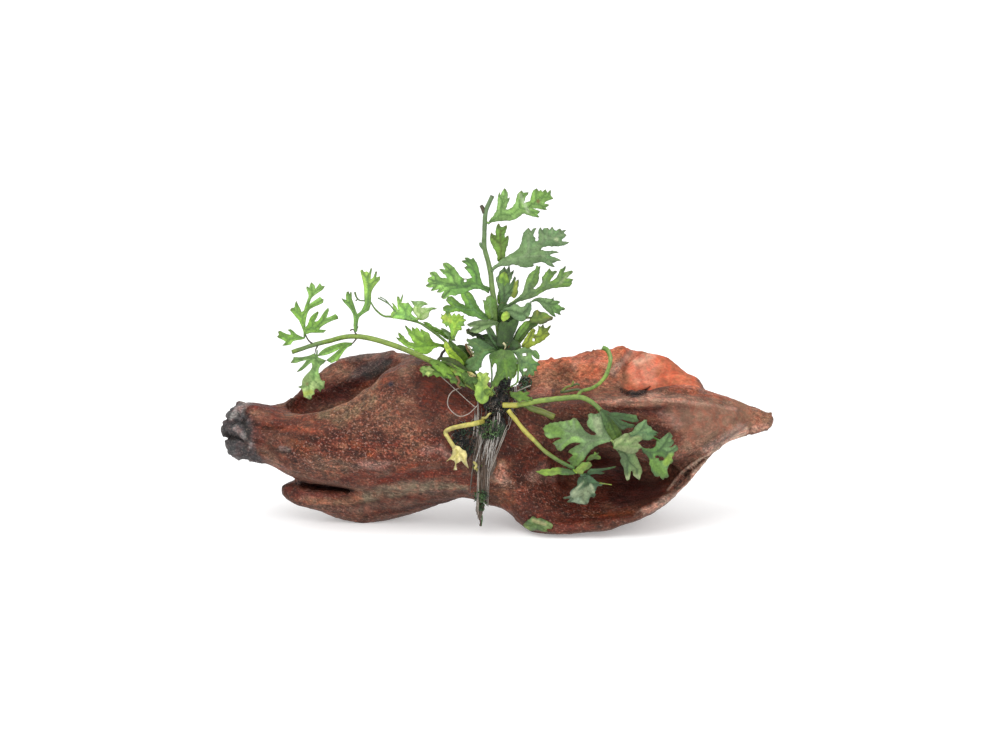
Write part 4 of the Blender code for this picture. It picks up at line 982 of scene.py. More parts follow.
# Each leaf: its base as column and row, its tone, the tone of its tips, the tone of its veins, how far it
# folds along its veins, how far its tips curl, how light it is, how blue it is, and its outline as columns
# and rows, or none for the plate's. A leaf that has no plate of its own has its depth before the outline
LEAVES = {
    "top_leaflet": (489.5, 223, "light_green", "fresh_green", "mid_green", 0.3, 0.5, 1.0, 1.2, """
     488,226 491,223.5 497,222.5 505,222 513,221.5 518,219 523,214.5 529,217 535,218.5 539.5,218.5
     537,216 540,213 535,211 532,209.5 538,210 543,211.5 547,211.5 545,209.5 549,206.5 544,205.5
     545,203.5 549,202 553,200.5 550,197 550,191.5 547,194.5 545,191 542,193.5 540.5,191.5 538.5,193
     536.5,190 533,192 531,197 530,202.5 527,203.5 523.5,204.5 525,199 528.5,194 525.5,194 523,194.5
     521.5,192 518.5,194 516.5,198 515.5,204 512.5,208.5 508,211 505.5,210.5 507.5,205 509,202.5
     510,198.5 507.5,200 507.5,194 504.5,189.5 502,193 500.5,197 499.5,193.5 498,197 497.5,205 496.5,212
     493.5,217 489.5,221"""),
    "upright_leaflet": (499, 262, "moss_green", "mid_green", "dark_olive", 0.35, 0.3, 1.48, 0.9, """
     497.5,262 497.5,257 495.5,252 492.5,247 490,241.5 490,238 491.5,233.5 493.5,236 496,236.5 495.5,231
     498.5,224.5 500.5,228 502.5,228.5 507,226.5 506.5,231 504.5,235.5 505,239 507,237 508.5,236.5
     508.5,243 506.5,249 505.5,253 505,259 503,262"""),
    "second_right_leaflet": (493, 270, "sage", "blue_green", "grey_green", 0.28, 0.8, 1.12, 1.0, """
     491,272 494.5,270.5 498,268 502,266.5 506,267 513,265 518,266 522,268 529,268 534,266 533,264.5
     537,263.5 541,262.5 545,263.5 549,266.5 555,267.5 553,265 552,263.5 557,261.5 561,261 557,258.5
     551.5,257 549.5,255.5 553,254 559,253 556,251.5 549,251.5 545,251.5 540.5,250.5 542,248 548,246.5
     554,247 561,246.5 566,245 569.5,243 566,242 562,242 561.5,240 564,238.5 566.5,235.5 563.5,233.5
     566,230.5 561.5,231.5 560,229 556,231.5 553.5,230 552,227 549.5,230.5 547.5,228.5 543.5,229 542,231
     540.5,228 538.5,230.5 538.3,236 538.5,240.5 537,242 535.8,239 533,236.5 534.5,232.5 536.5,228.5
     533,229.5 531,232 528.5,228.5 525,231.5 522.5,236 521.5,243 519,249 514,253 507,257 501,260 498,264
     492,268.5"""),
    "first_left_leaflet": (489, 289, "mid_green", "light_green", "deep_green", 0.3, 0.8, 1.5, 1.0, """
     490,288 484,286 482,282.5 480.5,278 479.5,272 478,266 475.5,261.5 473.5,258.5 471,260.5 468.5,258.5
     464.5,258.5 466,261 461.5,262 465.5,264.5 467.5,266.5 464.5,268.5 467,271 470,274.5 472.5,278
     469,279.5 464,279.5 460,276.5 457,271.5 452.5,266.5 447.5,263.5 443,264.5 444,267.5 446,270.5
     439.5,270 442,273 446,276 447.5,279 442,279 439,276 437.5,273.5 433,272.5 430,273.5 432.5,277
     428.5,279 428,282 429.5,284 426,286.5 430,288.5 434,288 431,291.5 436,291 440,289.5 437,293
     441,293.5 445,291.5 441.5,298 444,300 448,297.5 451,295.5 456,296.5 458,295 464,294 469,291.5
     474,289.5 480,289.5 485,291.5 489,294"""),
    "second_left_leaflet": (488, 318, "mid_green", "fresh_green", "blue_green", 0.3, 0.5, 1.42, 1.0, """
     490,317 484,313.5 480,309.5 477,304.5 474.5,299 472.5,295 469,292 464,291 461,294 461.5,298
     464.5,302.5 465.5,306 460,303.5 456,300 452,296.5 448,297 446,300.5 449,304 451,306 446,305.5
     443,307.5 443.5,311 446,312 444,315.5 448,316 450,313 456,311.5 462,312 466,314.5 471,317 476,317
     481,320 488,321.5"""),
    "third_right_leaflet": (502, 310, "sage", "fresh_green", "blue_green", 0.28, 0.8, 0.82, 0.9, """
     503,312 501,311 503,308 507,305.5 512,302 518,298 522,294 523.5,290 525,284 527,278 530,273.5
     535,270.5 536.5,266 538.5,268 540,266.5 539.5,271 538.5,276 538.5,281 536.5,285.5 533,289 535,290.3
     539.5,287 542,283 541.5,278 543.5,276 546.5,272 549,269 551,272.5 557,272 554,275.5 551,279.5
     549.5,282.3 552,281.5 556,278.5 558,274.5 560,270 562,269.5 565,266.5 565,270 563,273.5 567,272.5
     571,271.5 572.5,273 569,276.3 565.5,279.2 569,279.3 573,280.3 571,282.5 571.5,284.5 569,287.6
     560,288.2 552,289 546,290.8 540,294 534,298 526,300.3 519,302 512,305.5 507,309"""),
    "middle_leaflet": (501, 306, "blue_green", "sage", "deep_green", 0.3, 0.4, 0.84, 0.85, """
     501,309 500,300 499.5,292 497,285 496,278 498.5,276 499.5,272 502,270 504.5,267 506,270 508,268.5
     509,264 510,268.5 510.5,273 514,270 512.5,276 510.5,281 509,285.5 512,282 515,276.3 516,279 515,283
     518.5,279.5 519,283 517.5,289 518,294 514,299 511,296.5 508,299.5 505,304 503,309"""),
    "small_left_leaflet": (493, 322, "moss_green", "mid_green", "sage", 0.3, 0.2, 1.2, 0.9, """
     492,323 487,317 484.5,311 484,304 482.5,300.5 486,301 486.5,297.5 490,295.8 493,298 495.5,300
     496.5,307 497.5,316 497,323"""),
    "outer_right_leaflet": (532, 302, "sage", "mid_green", "deep_green", 0.3, 0.5, 1.4, 1.0, """
     530,303 533,300 536,298.5 540,297.8 543,298.5 548,299 552,299.3 553.5,297 553.5,301 557,300.8
     560.5,302.3 557.5,304.5 561,307 565.5,309.3 561,310.8 559.5,312.5 561,315 556.5,314 554,313
     555.5,317.5 551.5,316 548.5,313 544.5,309.5 541.5,306 539,303 536,301.5"""),
    "grey_right_leaflet": (502, 310, "sage", "blue_green", "deep_green", 0.3, 0.3, 1.02, 1.0, """
     500,312 506,308 510,307.5 514,304.5 517.5,305 520,307.5 524,307 527.5,303 531,303.5 531.5,307
     530.5,312 529,316.5 526,320 521,322 516.5,320.5 512.5,318 508,313"""),
    "rolled_leaflet": (530, 320, "dark_olive", "moss_green", "olive", 0.45, 0.3, 1.4, 1.0, """
     529,321 532,316 534,311.5 537,310 540,312.5 545,313 549,316 553,317.5 552,320.5 548,321.5 544,324
     540,325 536,323.5 532,323.5"""),
    "grey_left_leaflet": (498, 325, "sage", "grey_green", "deep_green", 0.25, 0.3, 0.92, 0.85, """
     499,327 494,325.5 489,327.5 484,331 478,333.5 472,332.5 469,331.5 472,328.5 474,327 469,326.8
     467,325 471,322.8 477,321 483,320.3 488,320.5 494,320.5 499,323"""),
    "olive_forked_leaflet": (522, 347, "lime_olive", "moss_green", "dark_olive", 0.3, 0.4, 1.05, 1.0, """
     521,347 523,342 526.5,336.5 529.5,331.5 533,328.5 535.5,330.5 534,334.5 536.5,334.5 538.3,330
     538,325.5 540.5,327.3 543,324 543.8,327.8 546,328.5 551,325.3 549,329.5 547.5,332 550,334.5 546,338
     542,341.5 537,344 532,346.5 527,348.5"""),
    "olive_strip_leaflet": (513, 345, "mid_green", "fresh_green", "moss_green", 0.3, 0.3, 1.1, 0.9, """
     512,346 514,340 517,333 520,327 524,322 528,321 530,323 528.5,327 525,331.5 521,336 517.5,341
     514.5,346"""),
    "dark_middle_leaflet": (503, 345, "shade_green", "deep_green", "deep_green", 0.25, 0.2, 0.9, 0.6, """
     497,347 497.5,335 499,324 503,321 508,323 512,320 516,318 519,321 517,328 514,335 512,341 508,347"""),
    "blue_left_leaflet": (499, 353, "sea_green", "blue_green", "sage", 0.28, 0.4, 0.92, 0.72, """
     500,352 496.3,349.5 491.2,346.4 487,343.8 482.9,341 478.8,338.9 474,338.3 470.5,339.8 467,338.6
     466.7,341.2 469,343.5 466.3,345 470.5,346.4 473.1,348 471,350 474.6,352.1 472,354 473.6,356.7
     470.3,358 466.7,360.4 465.4,363 468,364.9 465.5,367 466,370 468,371.5 470,373.4 472,371.2
     474.5,373.2 476.4,370.4 479,371.6 479.3,368.2 481.7,367.4 481.9,363 483.4,359 486,355.7 489.1,353.6
     494,353.5 500,354.5"""),
    "bright_middle_leaflet": (503, 350, "mid_green", "moss_green", "fresh_green", 0.28, 0.3, 0.76, 0.72, """
     501,349 497,351 492.5,352.5 489,355 489.3,358.8 491.2,365 492.7,367.5 494.3,363.2 496.5,364 497,370
     495.3,375.3 493.2,379.4 491.8,384 494,386.7 497.4,386.5 499,383.5 501,380.4 503.2,379.2 505.1,376.8
     507.2,380.3 508.7,376.6 511.3,380.7 512.9,376.6 516.5,374.5 514.6,371.1 517.5,368.5 515.8,365
     517.8,360.8 514.9,356.5 513.5,352.5 509,350 505,350.5"""),
    "grey_low_right_leaflet": (511, 350, "sage", "mid_green", "sea_green", 0.28, 0.4, 1.15, 0.9, """
     511,351 516,350.4 521.6,347.9 526.8,347.2 530.4,348.8 532,350.4 536.6,350.7 539.5,355.6 539.2,359.7
     536,358.9 533,356.2 531.2,354.2 532,357.7 534.6,360.8 538.7,363.2 540.3,365.2 536.6,366 536.3,369.1
     537.5,371.6 534,370.8 534.3,375.2 531.5,376.2 529.4,374 526.8,377.5 524.8,374.3 522.3,378 521.5,374
     519.4,371.1 518.4,368 517,364 517.5,357.7 514.9,354.1"""),
    "yellow_low_leaflet": (481, 402, "lime", "yellow_green", "fresh_green", 0.3, 0.3, 1.05, 1.45, """
     480,371.5 483.5,373.8 486,372.3 489.3,373.3 488,376.3 490.8,378 489,381.5 487,384.5 489,387.5
     492,388.5 492.3,392.5 490,395.5 488,393 489,397.5 487,402 483,404 478.5,402 475.5,398 474.8,392
     475.7,388 474.3,384 476.2,381 474.8,378.5 478,377.5 476.8,374.2"""),
    "arching_top_leaflet": (355.5, 332, "fresh_green", "lime", "mid_green", 0.3, 0.5, 1.1, 1.5, """
     355.5,333 353.5,327 354,321 353.5,315 351,310 347.5,306 343.5,302 341.5,298 344,299.5 346.5,300
     345.8,296 347,292 349,291.5 350,294.5 351,291.5 352,293 352,299 354,304 355.5,309 357.5,314
     361,311.5 363.5,307 365,303.5 364.5,297.5 364.5,290 363.5,283 362,276.5 360.5,271 362.5,269.5
     364.5,272.5 367,271.5 369.5,273 371,268.5 372.5,268.5 371.5,274 371,279.5 373.5,278 376,271.5
     377.5,272 376.5,277.5 380.5,276.5 380.5,280 377,284 373.5,288.5 371.5,293 371.5,299 371,305
     369.5,310.5 366,312.5 362,315 359,318 358,324 357.5,331"""),
    "arching_side_leaflet": (308, 338, "fresh_green", "light_green", "mid_green", 0.3, 0.6, 1.3, 1.15, """
     305.7,334 305,338.5 301.7,339.8 297,340.3 293,341.3 291,344.6 286.5,345.6 282.5,345.8 286,342
     283.5,340 280,338.7 277.2,336.9 279.5,334.7 278.2,331.8 280.5,330.7 284,332.7 287,334 291,334.7
     290.4,332 287.6,329.9 291,329.2 294,331.4 296.4,334 300.4,336 303.7,337.3 303.7,332 302.4,328
     300.4,323.4 299,320 296.4,317.5 293.8,314.2 290.3,310.2 291.8,308 295,307.6 295,304.3 296.7,300.8
     298.4,304.9 300.4,308.2 301.7,312 304.2,310.8 305,307 306.6,303 307.7,299.6 309,296.3 308.3,293
     306.6,289 306.8,286.2 309.5,287.7 310.3,284.4 311.6,282.2 314.9,285.5 315.6,289 317.6,286.4
     320.2,282.9 321.5,285.7 325,286.2 322.9,289.7 319,292.3 314.3,295.6 311.6,298.2 310.3,301.6
     309.7,304.2 313,301.6 317,299 320.2,296.7 321.3,298.2 323.7,299.4 323,302.9 319.6,304.8 314.3,306.8
     309.7,309.5 307.7,313 306.6,317.4 305.7,322.7 305.5,327 307.5,325.4 309,321.4 310.3,317.4 313.6,314
     318,311.2 318.7,312.8 317,317.4 314.5,321.5 317.6,321.2 320.2,318 323,313.5 325.5,310.2 328.3,307.4
     329,310.2 327.5,314.8 326.3,317.8 330,316.7 335.5,313.9 337.6,316 338.2,318.8 333.4,320.3
     328.8,322.3 325,324.3 321,327 319,329.5 326.3,330 323.5,332.8 317,332.9 310.5,332.8 307.3,334.2"""),
    "arching_hanging_leaflet": (316, 350, "light_green", "pale_green", "mid_green", 0.3, 0.3, 0.97, 1.15, """
     316.4,350 316,354.5 314.3,353.2 309,355.8 300.4,357.4 293.6,356.9 293.1,359.1 290.3,362.9
     295.8,363.2 302.4,360.8 306.4,360.2 303,365 299,369 296.5,372.1 300.4,371.2 304.4,368.5 307.7,365.2
     311.3,362.5 312.3,366.3 310.3,370.3 306.3,374.3 303,378.2 301.7,382.2 302,385.5 297.5,386.9
     301.7,388.8 303,392.7 303.5,396.9 306.3,398 309.6,399.8 311.8,398.7 311.6,395.4 314.5,394.1 314,390
     317,388.3 320.3,392.3 321.5,388.8 324.4,389 324,385 325,381.3 320.9,380.2 319.5,375.6 318.2,370.3
     320,366 323.8,363.2 326.3,360.4 320.9,358.4 317.5,357 317.6,350"""),
    "arching_under_leaflet": (352, 344, "fresh_green", "light_green", "mid_green", 0.3, 0.3, 1.2, 1.15, ""),
    "thin_tuft_leaflet": (405, 320, "fresh_green", "lime", "mid_green", 0.3, 0.3, 1.6, 1.6, """
     391,318 391.5,313 394,310.5 393,305 392,302.5 394.5,304.5 397.5,309 399,311 397.5,303 397.5,296.5
     399.3,297 400.5,300 402,296.5 403,294.3 402.8,299 401.5,303 406,303.5 408.5,302.5 411,306 413.5,309
     411,313.5 414,316.5 419,320 414,321 407,319.5 400,319"""),
    "thin_pale_leaflet": (420, 320, "pale_green", "sage", "fresh_green", 0.3, 0.3, 1.7, 1.3, """
     419,320 416.5,316 414,313 412,309 415,306.5 412,302.5 410.5,300.5 415,301.5 419,300.8 425,302
     428.5,304.5 424,305.5 421,308 428,308 434,307.5 437.5,309 432,310 429.5,312.5 429,316.5 426.5,319
     423,320.5"""),
    "bright_left_leaflet": (445, 347, "fresh_green", "light_green", "mid_green", 0.3, 0.4, 1.15, 0.68, """
     446,349 440,346.5 434,348.5 430,353 425,354.5 419,352.5 413,349 407,347 402,343 398,339.5
     396.5,337.5 400.5,338.5 399,332.5 402.5,335 406,339 410,342.5 415,343.5 411.5,338 408,331.5
     405.5,325.5 409,328 412.5,331.5 413,327 415.5,329.5 417.5,327.5 420.5,331 422.5,335 421,329
     425,331.5 430,334 431,338 434,342.5 440,344 446,345"""),
    "yellow_lobed_leaflet": (453, 338, "fresh_green", "mid_green", "lime", 0.3, 0.3, 1.35, 1.0, """
     452,340 450.9,333 450.2,329 448.5,325.6 446.6,327.8 444.9,324.2 442.4,323.5 443,320.4 440.6,318.5
     442.2,316.8 441.2,314.2 444,315.8 445.8,313.3 448.2,315.4 450,312.9 452,316.3 454.6,313.4
     456.6,316.2 459.5,313.6 461,316.6 464.5,315.6 463.6,319 467,320.4 463.8,322.6 465.2,326 461.3,326.4
     462,330.6 458.5,330.6 456.5,335 455,339"""),
    "yellow_left_leaflet": (464, 365, "lime", "yellow_green", "fresh_green", 0.3, 0.2, 1.3, 0.85, """
     445,341 447,342 449.5,346 453,350.5 458,355.5 462,359.5 464.5,363 464,366.5 460,365.5 455,362.5
     451,358.5 448,355 445.5,350 444,345"""),
    "low_left_leaflet": (476, 382, "mid_green", "fresh_green", "moss_green", 0.3, 0.2, 0.66, 0.55, """
     420,370 423,366.8 428,366 433,367 437,364 442,361 447,361.5 453,364 458,366.5 463,369 468,371
     473,372.5 474.5,376 476.5,380 474.5,384 471,382 469.5,386.5 466,382 463.5,385.5 460,381 457.5,384.5
     454.5,379.5 451,381.5 449,377 444,378.5 441,376 437,377.5 434.5,374.5 430,376.5 427.5,373.5
     424,375.5 422.5,372.5"""),
    "large_right_leaflet": (609, 438, "sage", "light_green", "grey_green", 0.25, 0.6, 0.88, 1.0, """
     611,440 605.7,442 602.5,443.1 598.3,444.2 594,446.3 590,449.5 587.1,453.3 584.9,456.5 583.3,459.7
     580.7,461.3 578.5,464.2 575.9,466.3 572.7,465.2 570,464.5 569.7,462 566.6,460.2 568.9,458.4 571,456
     572.9,454.9 571,453.4 567.7,451.7 569.4,449 572.7,447.2 576.9,444.7 580.5,443.2 576.9,442.2
     573.7,442 570,443.1 567.3,444.7 564.7,446.8 563.1,449 560.4,451.1 557.2,449.5 555.6,448 555,445
     551.9,443.1 554.5,441 557.7,439.4 561.2,437.8 558.8,437 555.6,437.2 552.4,438 549.2,438.5 546,436.3
     543.9,433.5 544.3,430.5 542.1,428.2 543.9,427 544.9,424.8 547.6,424.4 550,422.4 551.9,422.9
     554.5,421.6 557.2,422.3 560,420.8 562.5,421.3 565.2,420.4 567.3,419.7 570,420.2 571.1,418.7
     573.2,417.3 575.9,418.4 578.5,421.8 580.3,425 582.3,427.7 583.9,430.3 586.5,432.2 590,434.5
     594,434.9 595.8,433.6 594,431.8 590,429 588,427.1 586.3,424.7 586.1,421.3 588.1,418.1 586.9,414.5
     590,412.8 594,413.9 597.2,413.2 599.5,411.3 600.2,415 601,420.2 602.5,424.5 604,428.7 606.5,433"""),
    "dark_upper_leaflet": (610, 416, "sea_green", "blue_green", "deep_green", 0.28, 0.3, 0.68, 0.7, """
     606,413.5 612,411.9 620,412.7 626,413.5 631.3,414.3 635.8,415.1 636.1,418.1 638.5,420.7 634,422
     629,421.3 623,419.9 616,417.7 622,421 628,423.3 634,424.4 633,427 626,427.4 621.7,430 617,426
     612,420"""),
    "far_right_leaflet": (620, 437, "sage", "blue_green", "sea_green", 0.28, 0.3, 1.15, 1.0, """
     618,437 622,434 627,433 631,431.5 632.4,429.6 635,425.5 637.7,422.7 641.5,421.3 643.1,419.5
     646.4,419.5 645.7,422.3 646.8,425 650.2,426.5 651.1,429.3 654.8,430.8 658,432.7 654.5,433.4
     657.2,435.2 652.5,435.4 653.7,437.5 650,439.3 645.2,440.1 641,438.8 636,438.6 630,439.7 624,439"""),
    "far_low_leaflet": (641, 450, "mid_green", "sage", "deep_green", 0.28, 0.4, 0.88, 1.1, """
     640,447.3 645.2,447.9 650,448.5 653.7,446.6 654.8,444.7 655.3,441 660,438.2 663.3,435.5 666,433.3
     668.7,431.5 670.4,434 671.8,436.2 670,438.4 673.2,440.2 672.5,443.3 668,446.8 671,446.9 674,444.4
     676.4,445.2 677.6,448 676.2,450.4 672.9,451.8 673.2,454.4 670.6,457 672.2,460.2 671,463 668.4,463.5
     667.2,466.1 666,469.3 666.7,472.5 668,475.5 666,477.7 664,476.9 662.3,479.5 659.6,477.2 658.5,475
     656.9,476.2 653.7,475.7 652.5,473 650.2,470.3 649.8,466.1 648,463.4 648.9,459.7 647,456.5 645,453.8
     641.5,451.1"""),
    "pale_leaflet": (612, 446, "pale_green", "pale_green", "light_green", 0.28, 0.2, 0.63, 1.2, """
     612,440.5 614.3,438.3 618.5,436.8 620.7,435 623.9,432.8 629.3,433.4 629,436.2 632.4,436.2
     636.8,434.8 640,436.2 641.7,439 638.8,440.6 636.7,442.6 640.5,445.7 642.2,447.5 637.8,448.6
     636.9,450.8 634,452.8 629.2,453.5 623.9,451.8 620.7,450.4 617.5,449.6 611.9,447.5 613,444.7"""),
    "hanging_right_leaflet": (624, 448, "sage", "pale_green", "deep_green", 0.35, 0.3, 0.68, 0.95, """
     616,449 618.3,453.3 620.2,457.6 619,460.2 620.5,463.9 622.6,466.6 623.1,470.3 624.2,475.7
     626.2,480.2 628.4,478.6 629.3,474.6 629.9,470.2 631.5,470.2 632.3,474.6 635.5,477.3 638.5,479.5
     639.5,476.4 640,474 641.2,471.4 640.5,467.1 638.9,463.9 637.3,459.7 635.1,455.4 632.5,451 626,447.5"""),
    "pointing_left_leaflet": (575, 471, "mid_green", "lime", "sage", 0.35, 0.2, 0.76, 1.05, """
     575.5,473 573.7,469.6 570,469 565.2,467.8 560,466.9 557.2,466.4 554.5,467.1 551.9,467 550,468.8
     547.6,468 544,468.8 541,468.5 539.8,470 535.4,470.6 538,472.1 540,473.2 542.3,474.2 545.5,475.4
     548.7,474.4 550,475.1 554,474.5 557.7,473.3 560.9,474.2 565.2,474.4 570,474.2"""),
    "bud_leaflet": (575, 471, "lime", "fresh_green", "yellow_green", 0.3, 0.2, 0.52, 1.4, """
     574,469.8 575.9,466.6 578.5,464.3 580.7,461.7 583,461.2 584.9,461.8 587.6,460.7 589.9,461.6
     591.5,464.6 589.7,466.6 588.3,468.4 585.5,469.3 583.3,470.4 582.3,472.7 581,475 578.5,473.2
     575.9,472"""),
    "dark_right_leaflet": (586, 474, "sea_green", "sage", "deep_green", 0.3, 0.2, 0.8, 0.9, """
     585,475 587,470.5 590,468.1 596.2,468.1 603.6,467.6 610,466.5 615.7,465.4 614.3,467.2 608.9,468.8
     603.6,469.9 600,471 604.5,472.3 599.4,473.9 596.2,473 593,473.4 590,474 588,478"""),
    "crumpled_leaflet": (581, 474, "sea_green", "frost_green", "deep_green", 0.6, 0.3, 0.72, 1.05, """
     584,473.5 580.1,475.6 578.3,476.7 576.7,479.9 577,484.2 575.2,486.2 572.5,487.8 570.4,490
     569.4,492.2 570,494.9 567.3,495.8 562,497.6 567.3,497.8 569.6,498.3 566.5,501.6 570,501.6
     573.7,501.5 575.9,502.5 581.7,503.7 586.7,503.4 588.3,501.4 588.7,498.1 590,495.9 593.5,497.2
     595.3,493.8 594,491.7 595.3,489.5 596.2,486.3 597.2,485.2 600.4,485.3 604,482 599.4,482.1 596.7,481
     594,478.9 591.9,476.7 589.7,475.4 587.6,474"""),
    "toothed_leaflet": (511, 396, "moss_green", "fresh_green", "mid_green", 0.3, 0.2, 0.92, 0.65, """
     509.5,391 513,392 516.9,392.2 519,390.6 521.7,391.3 523.5,393 526.5,391.4 530,392.5 528,394.8
     525.5,396 528.5,396.6 531.6,398.8 528.6,399.8 528,401.8 524.5,400 521.5,400.4 519,402.4 516.5,400.6
     514.5,398.4 511,396.6"""),
    "dead_leaf": (455, 448, "straw", "cream", "yellow", 0.4, 0.3, 0.89, 1.3, """
     453,446 456,445 460,446 462.5,449 466,450.5 467.5,455 466.5,459 469,468 465,464.5 461.5,460 459,462
     456,463.5 457.5,469.5 453.5,469.5 455.5,464 455,460.5 450.5,458.5 446.5,461 451,456.5 453,452"""),
    "fallen_leaflet": (536, 524, "sage", "pale_green", "moss_green", 0.4, 0.2, 0.65, 0.82, """
     522.5,525.5 526,521 530,518.5 533,515.5 536.5,518.5 541,517.5 545,519.5 549,521.5 553,524.5
     551,528.5 546.5,528 547.5,531 542,531 538,529.5 531,530.5 526,528"""),
    "lime_leaf": (505, 322, "lime", "fresh_green", "yellow_green", 0.3, 0.1, 1.0, 1.0, """
     -9.6 501,316.5 503,313 506.5,311.5 509.5,313.5 510,317.5 507,320.5 503,322 501,319.5"""),
    "narrow_leaf": (498, 348, "sea_green", "sage", "deep_green", 0.3, 0.2, 0.9, 0.7, """
     -8.6 498,350 494,345 490,339 487,333 485.5,328 487,325 490,326.5 493,330 496,336 500,343"""),
    "shriveled_leaf": (484, 338, "shade_green", "dark_olive", "root_black", 0.5, 0.2, 0.9, 0.7, """
     -8.4 466,330 469,328.5 472,331 477,333 482,335 485,340 480,338 476,336 473,337.5 470,335 467,334"""),
    "inner_left_leaf": (468, 370, "moss_green", "mid_green", "deep_green", 0.4, 0.3, 1.0, 0.7, """
     -8.6 449,339 453,342 458,347 463,351 468,356 470,362 473,368 469,373 463,372 458,369 455,363
     452,356 450,349"""),
    "inner_dark_leaf": (476, 366, "shade_green", "deep_green", "moss_green", 0.4, 0.2, 0.9, 0.7, """
     -8.0 456,346 462,345 467,347 471,352 476,357 480,364 479,370 474,368 468,363 462,356"""),
    "upper_dark_leaf": (500, 322, "shade_green", "deep_green", "sea_green", 0.3, 0.2, 0.9, 0.6, """
     -6.6 498,324 497.5,314 498,306 502,302 507,304 511,308 516,313 515,319 509,322 504,325"""),
    "lower_dark_leaf": (499, 352, "shade_green", "deep_green", "sea_green", 0.3, 0.2, 0.9, 0.6, """
     -8.2 476,336 482,335 489,334 495,337 500,339 508,340 515,340 520,343 521,348 512,352 503,354
     494,352 485,346 479,341"""),
    "behind_strip_leaf": (512, 345, "moss_green", "mid_green", "deep_green", 0.3, 0.2, 1.0, 0.8, """
     -6.4 511,346 513,338 517,330 521,325 527,322 534,318 540,320 537,326 530,330 525,338 519,345
     514,348"""),
    "back_middle_leaf": (500, 300, "fresh_green", "lime", "mid_green", 0.3, 0.2, 1.1, 1.0, """
     -2.6 497,300 499,290 498,281 501,274 505,272 508,277 509,285 507,293 509,299 505,306 500,308"""),
    "low_lime_leaf": (516, 378, "lime", "fresh_green", "moss_green", 0.3, 0.2, 1.0, 1.0, """
     -10.4 513,360 516,362 518,366 517,371 515.5,376 513,379 511.5,374 512,367"""),
    "stem_side_leaf": (430, 333, "fresh_green", "moss_green", "mid_green", 0.3, 0.2, 1.2, 0.9, """
     -2.8 423,322 429,323 433,326.5 439,329 444,331.5 448,335 452,338 448,340 442,336 436,332 429,328"""),
    "old_side_leaf": (451, 334, "sage", "grey_green", "moss_green", 0.3, 0.2, 1.2, 1.0, """
     -6.4 441,328 445,329 448,331 451,333 454,337 456,341 452,341 448,337 444,333"""),
    "foot_tuft_leaf": (432, 371, "pale_green", "light_green", "mid_green", 0.3, 0.2, 0.9, 0.8, """
     -13.1 420,370.5 421.3,367.3 424.5,366 427,367.8 430,365.8 432,368.3 435,370 432.5,372 434.3,375
     430.5,374 429,377.3 426.5,374.5 423.3,376.8 423,373.3"""),
    "foot_blade_leaf": (456, 377, "fresh_green", "mid_green", "light_green", 0.5, 0.3, 0.9, 0.6, """
     -13.0 429,360.5 436,359.5 443,362.5 448,367 452,371.5 456,378 453,376.5 451,379 447,375.5 444.5,377
     441,372.5 436,369.5 432,365"""),
    "foot_dark_leaf": (468, 371, "dark_olive", "moss_green", "deep_green", 0.5, 0.2, 0.8, 0.6, """
     -12.8 439,358.5 446,357 452,358 458,361 463,365 468,371 463,371 457,369 451,366 445,362.5"""),
    "foot_right_leaf": (478, 380, "mid_green", "moss_green", "deep_green", 0.4, 0.3, 0.85, 0.6, """
     -13.2 461,371.5 466,372 471,375 475,377 478.5,381 476,385 472.5,382 470,386 467,381.5 463.5,384
     462.5,378"""),
    "pale_scrap_leaf": (469, 372, "straw", "cream", "leaf_brown", 0.3, 0.2, 0.8, 1.0, """
     -13.5 467.5,371.5 471,371.8 474,373.5 476.5,376.8 473,377.3 469.5,376.3 468.3,374"""),
    "foot_curl_leaf": (484, 400, "fresh_green", "moss_green", "lime", 0.4, 0.2, 0.8, 0.8, """
     -13.2 486,388.5 489.5,389 492.5,391.5 491.5,395.5 489.5,393.5 488,396 485.5,394.5 484,391.5"""),
    "foot_light_leaf": (470, 378, "fresh_green", "lime", "moss_green", 0.4, 0.3, 0.95, 0.7, """
     -12.9 443,362 449,362.5 455,365.5 461,368.5 467,373 471,379 466,377.5 464,380 460,375.5 456,376
     453,371.5 449,371 446,366.5"""),
    "foot_low_leaf": (465, 384, "moss_green", "mid_green", "deep_green", 0.4, 0.3, 0.9, 0.7, """
     -13.3 446,373.5 450,374 454,376.5 459,378.5 463,383 466,387.5 461,385.5 458,387 455.5,383
     451.5,383.5 450,379 446.5,378"""),
    "stem_wing_leaf": (617, 439, "moss_green", "sea_green", "deep_green", 0.3, 0.2, 0.85, 0.8, """
     -18.6 599,409 604,409.5 609,412 613,415 617,421 619.5,428 621,435 617,440 611,440 607,434 603.5,427
     600.5,419"""),
    "bud_side_leaf": (585, 461, "moss_green", "fresh_green", "dark_olive", 0.3, 0.2, 0.85, 0.8, """
     -22.2 585,461.5 586.5,458.4 587.6,456.2 590,454.1 593,453.6 594,450.8 595.7,452.6 598.5,451.5
     596.9,454.3 599.6,455.8 600.2,458.6 597.2,458.8 594,458.2 590.8,459.4 588.1,460"""),
    "frond_foot_leaf": (480, 386, "moss_green", "deep_green", "fresh_green", 0.3, 0.2, 0.9, 0.6, """
     -11.2 462,372 468,374 474,376 480,379 483,385 480,390 475,391 471,387 466,384 463,378"""),
}

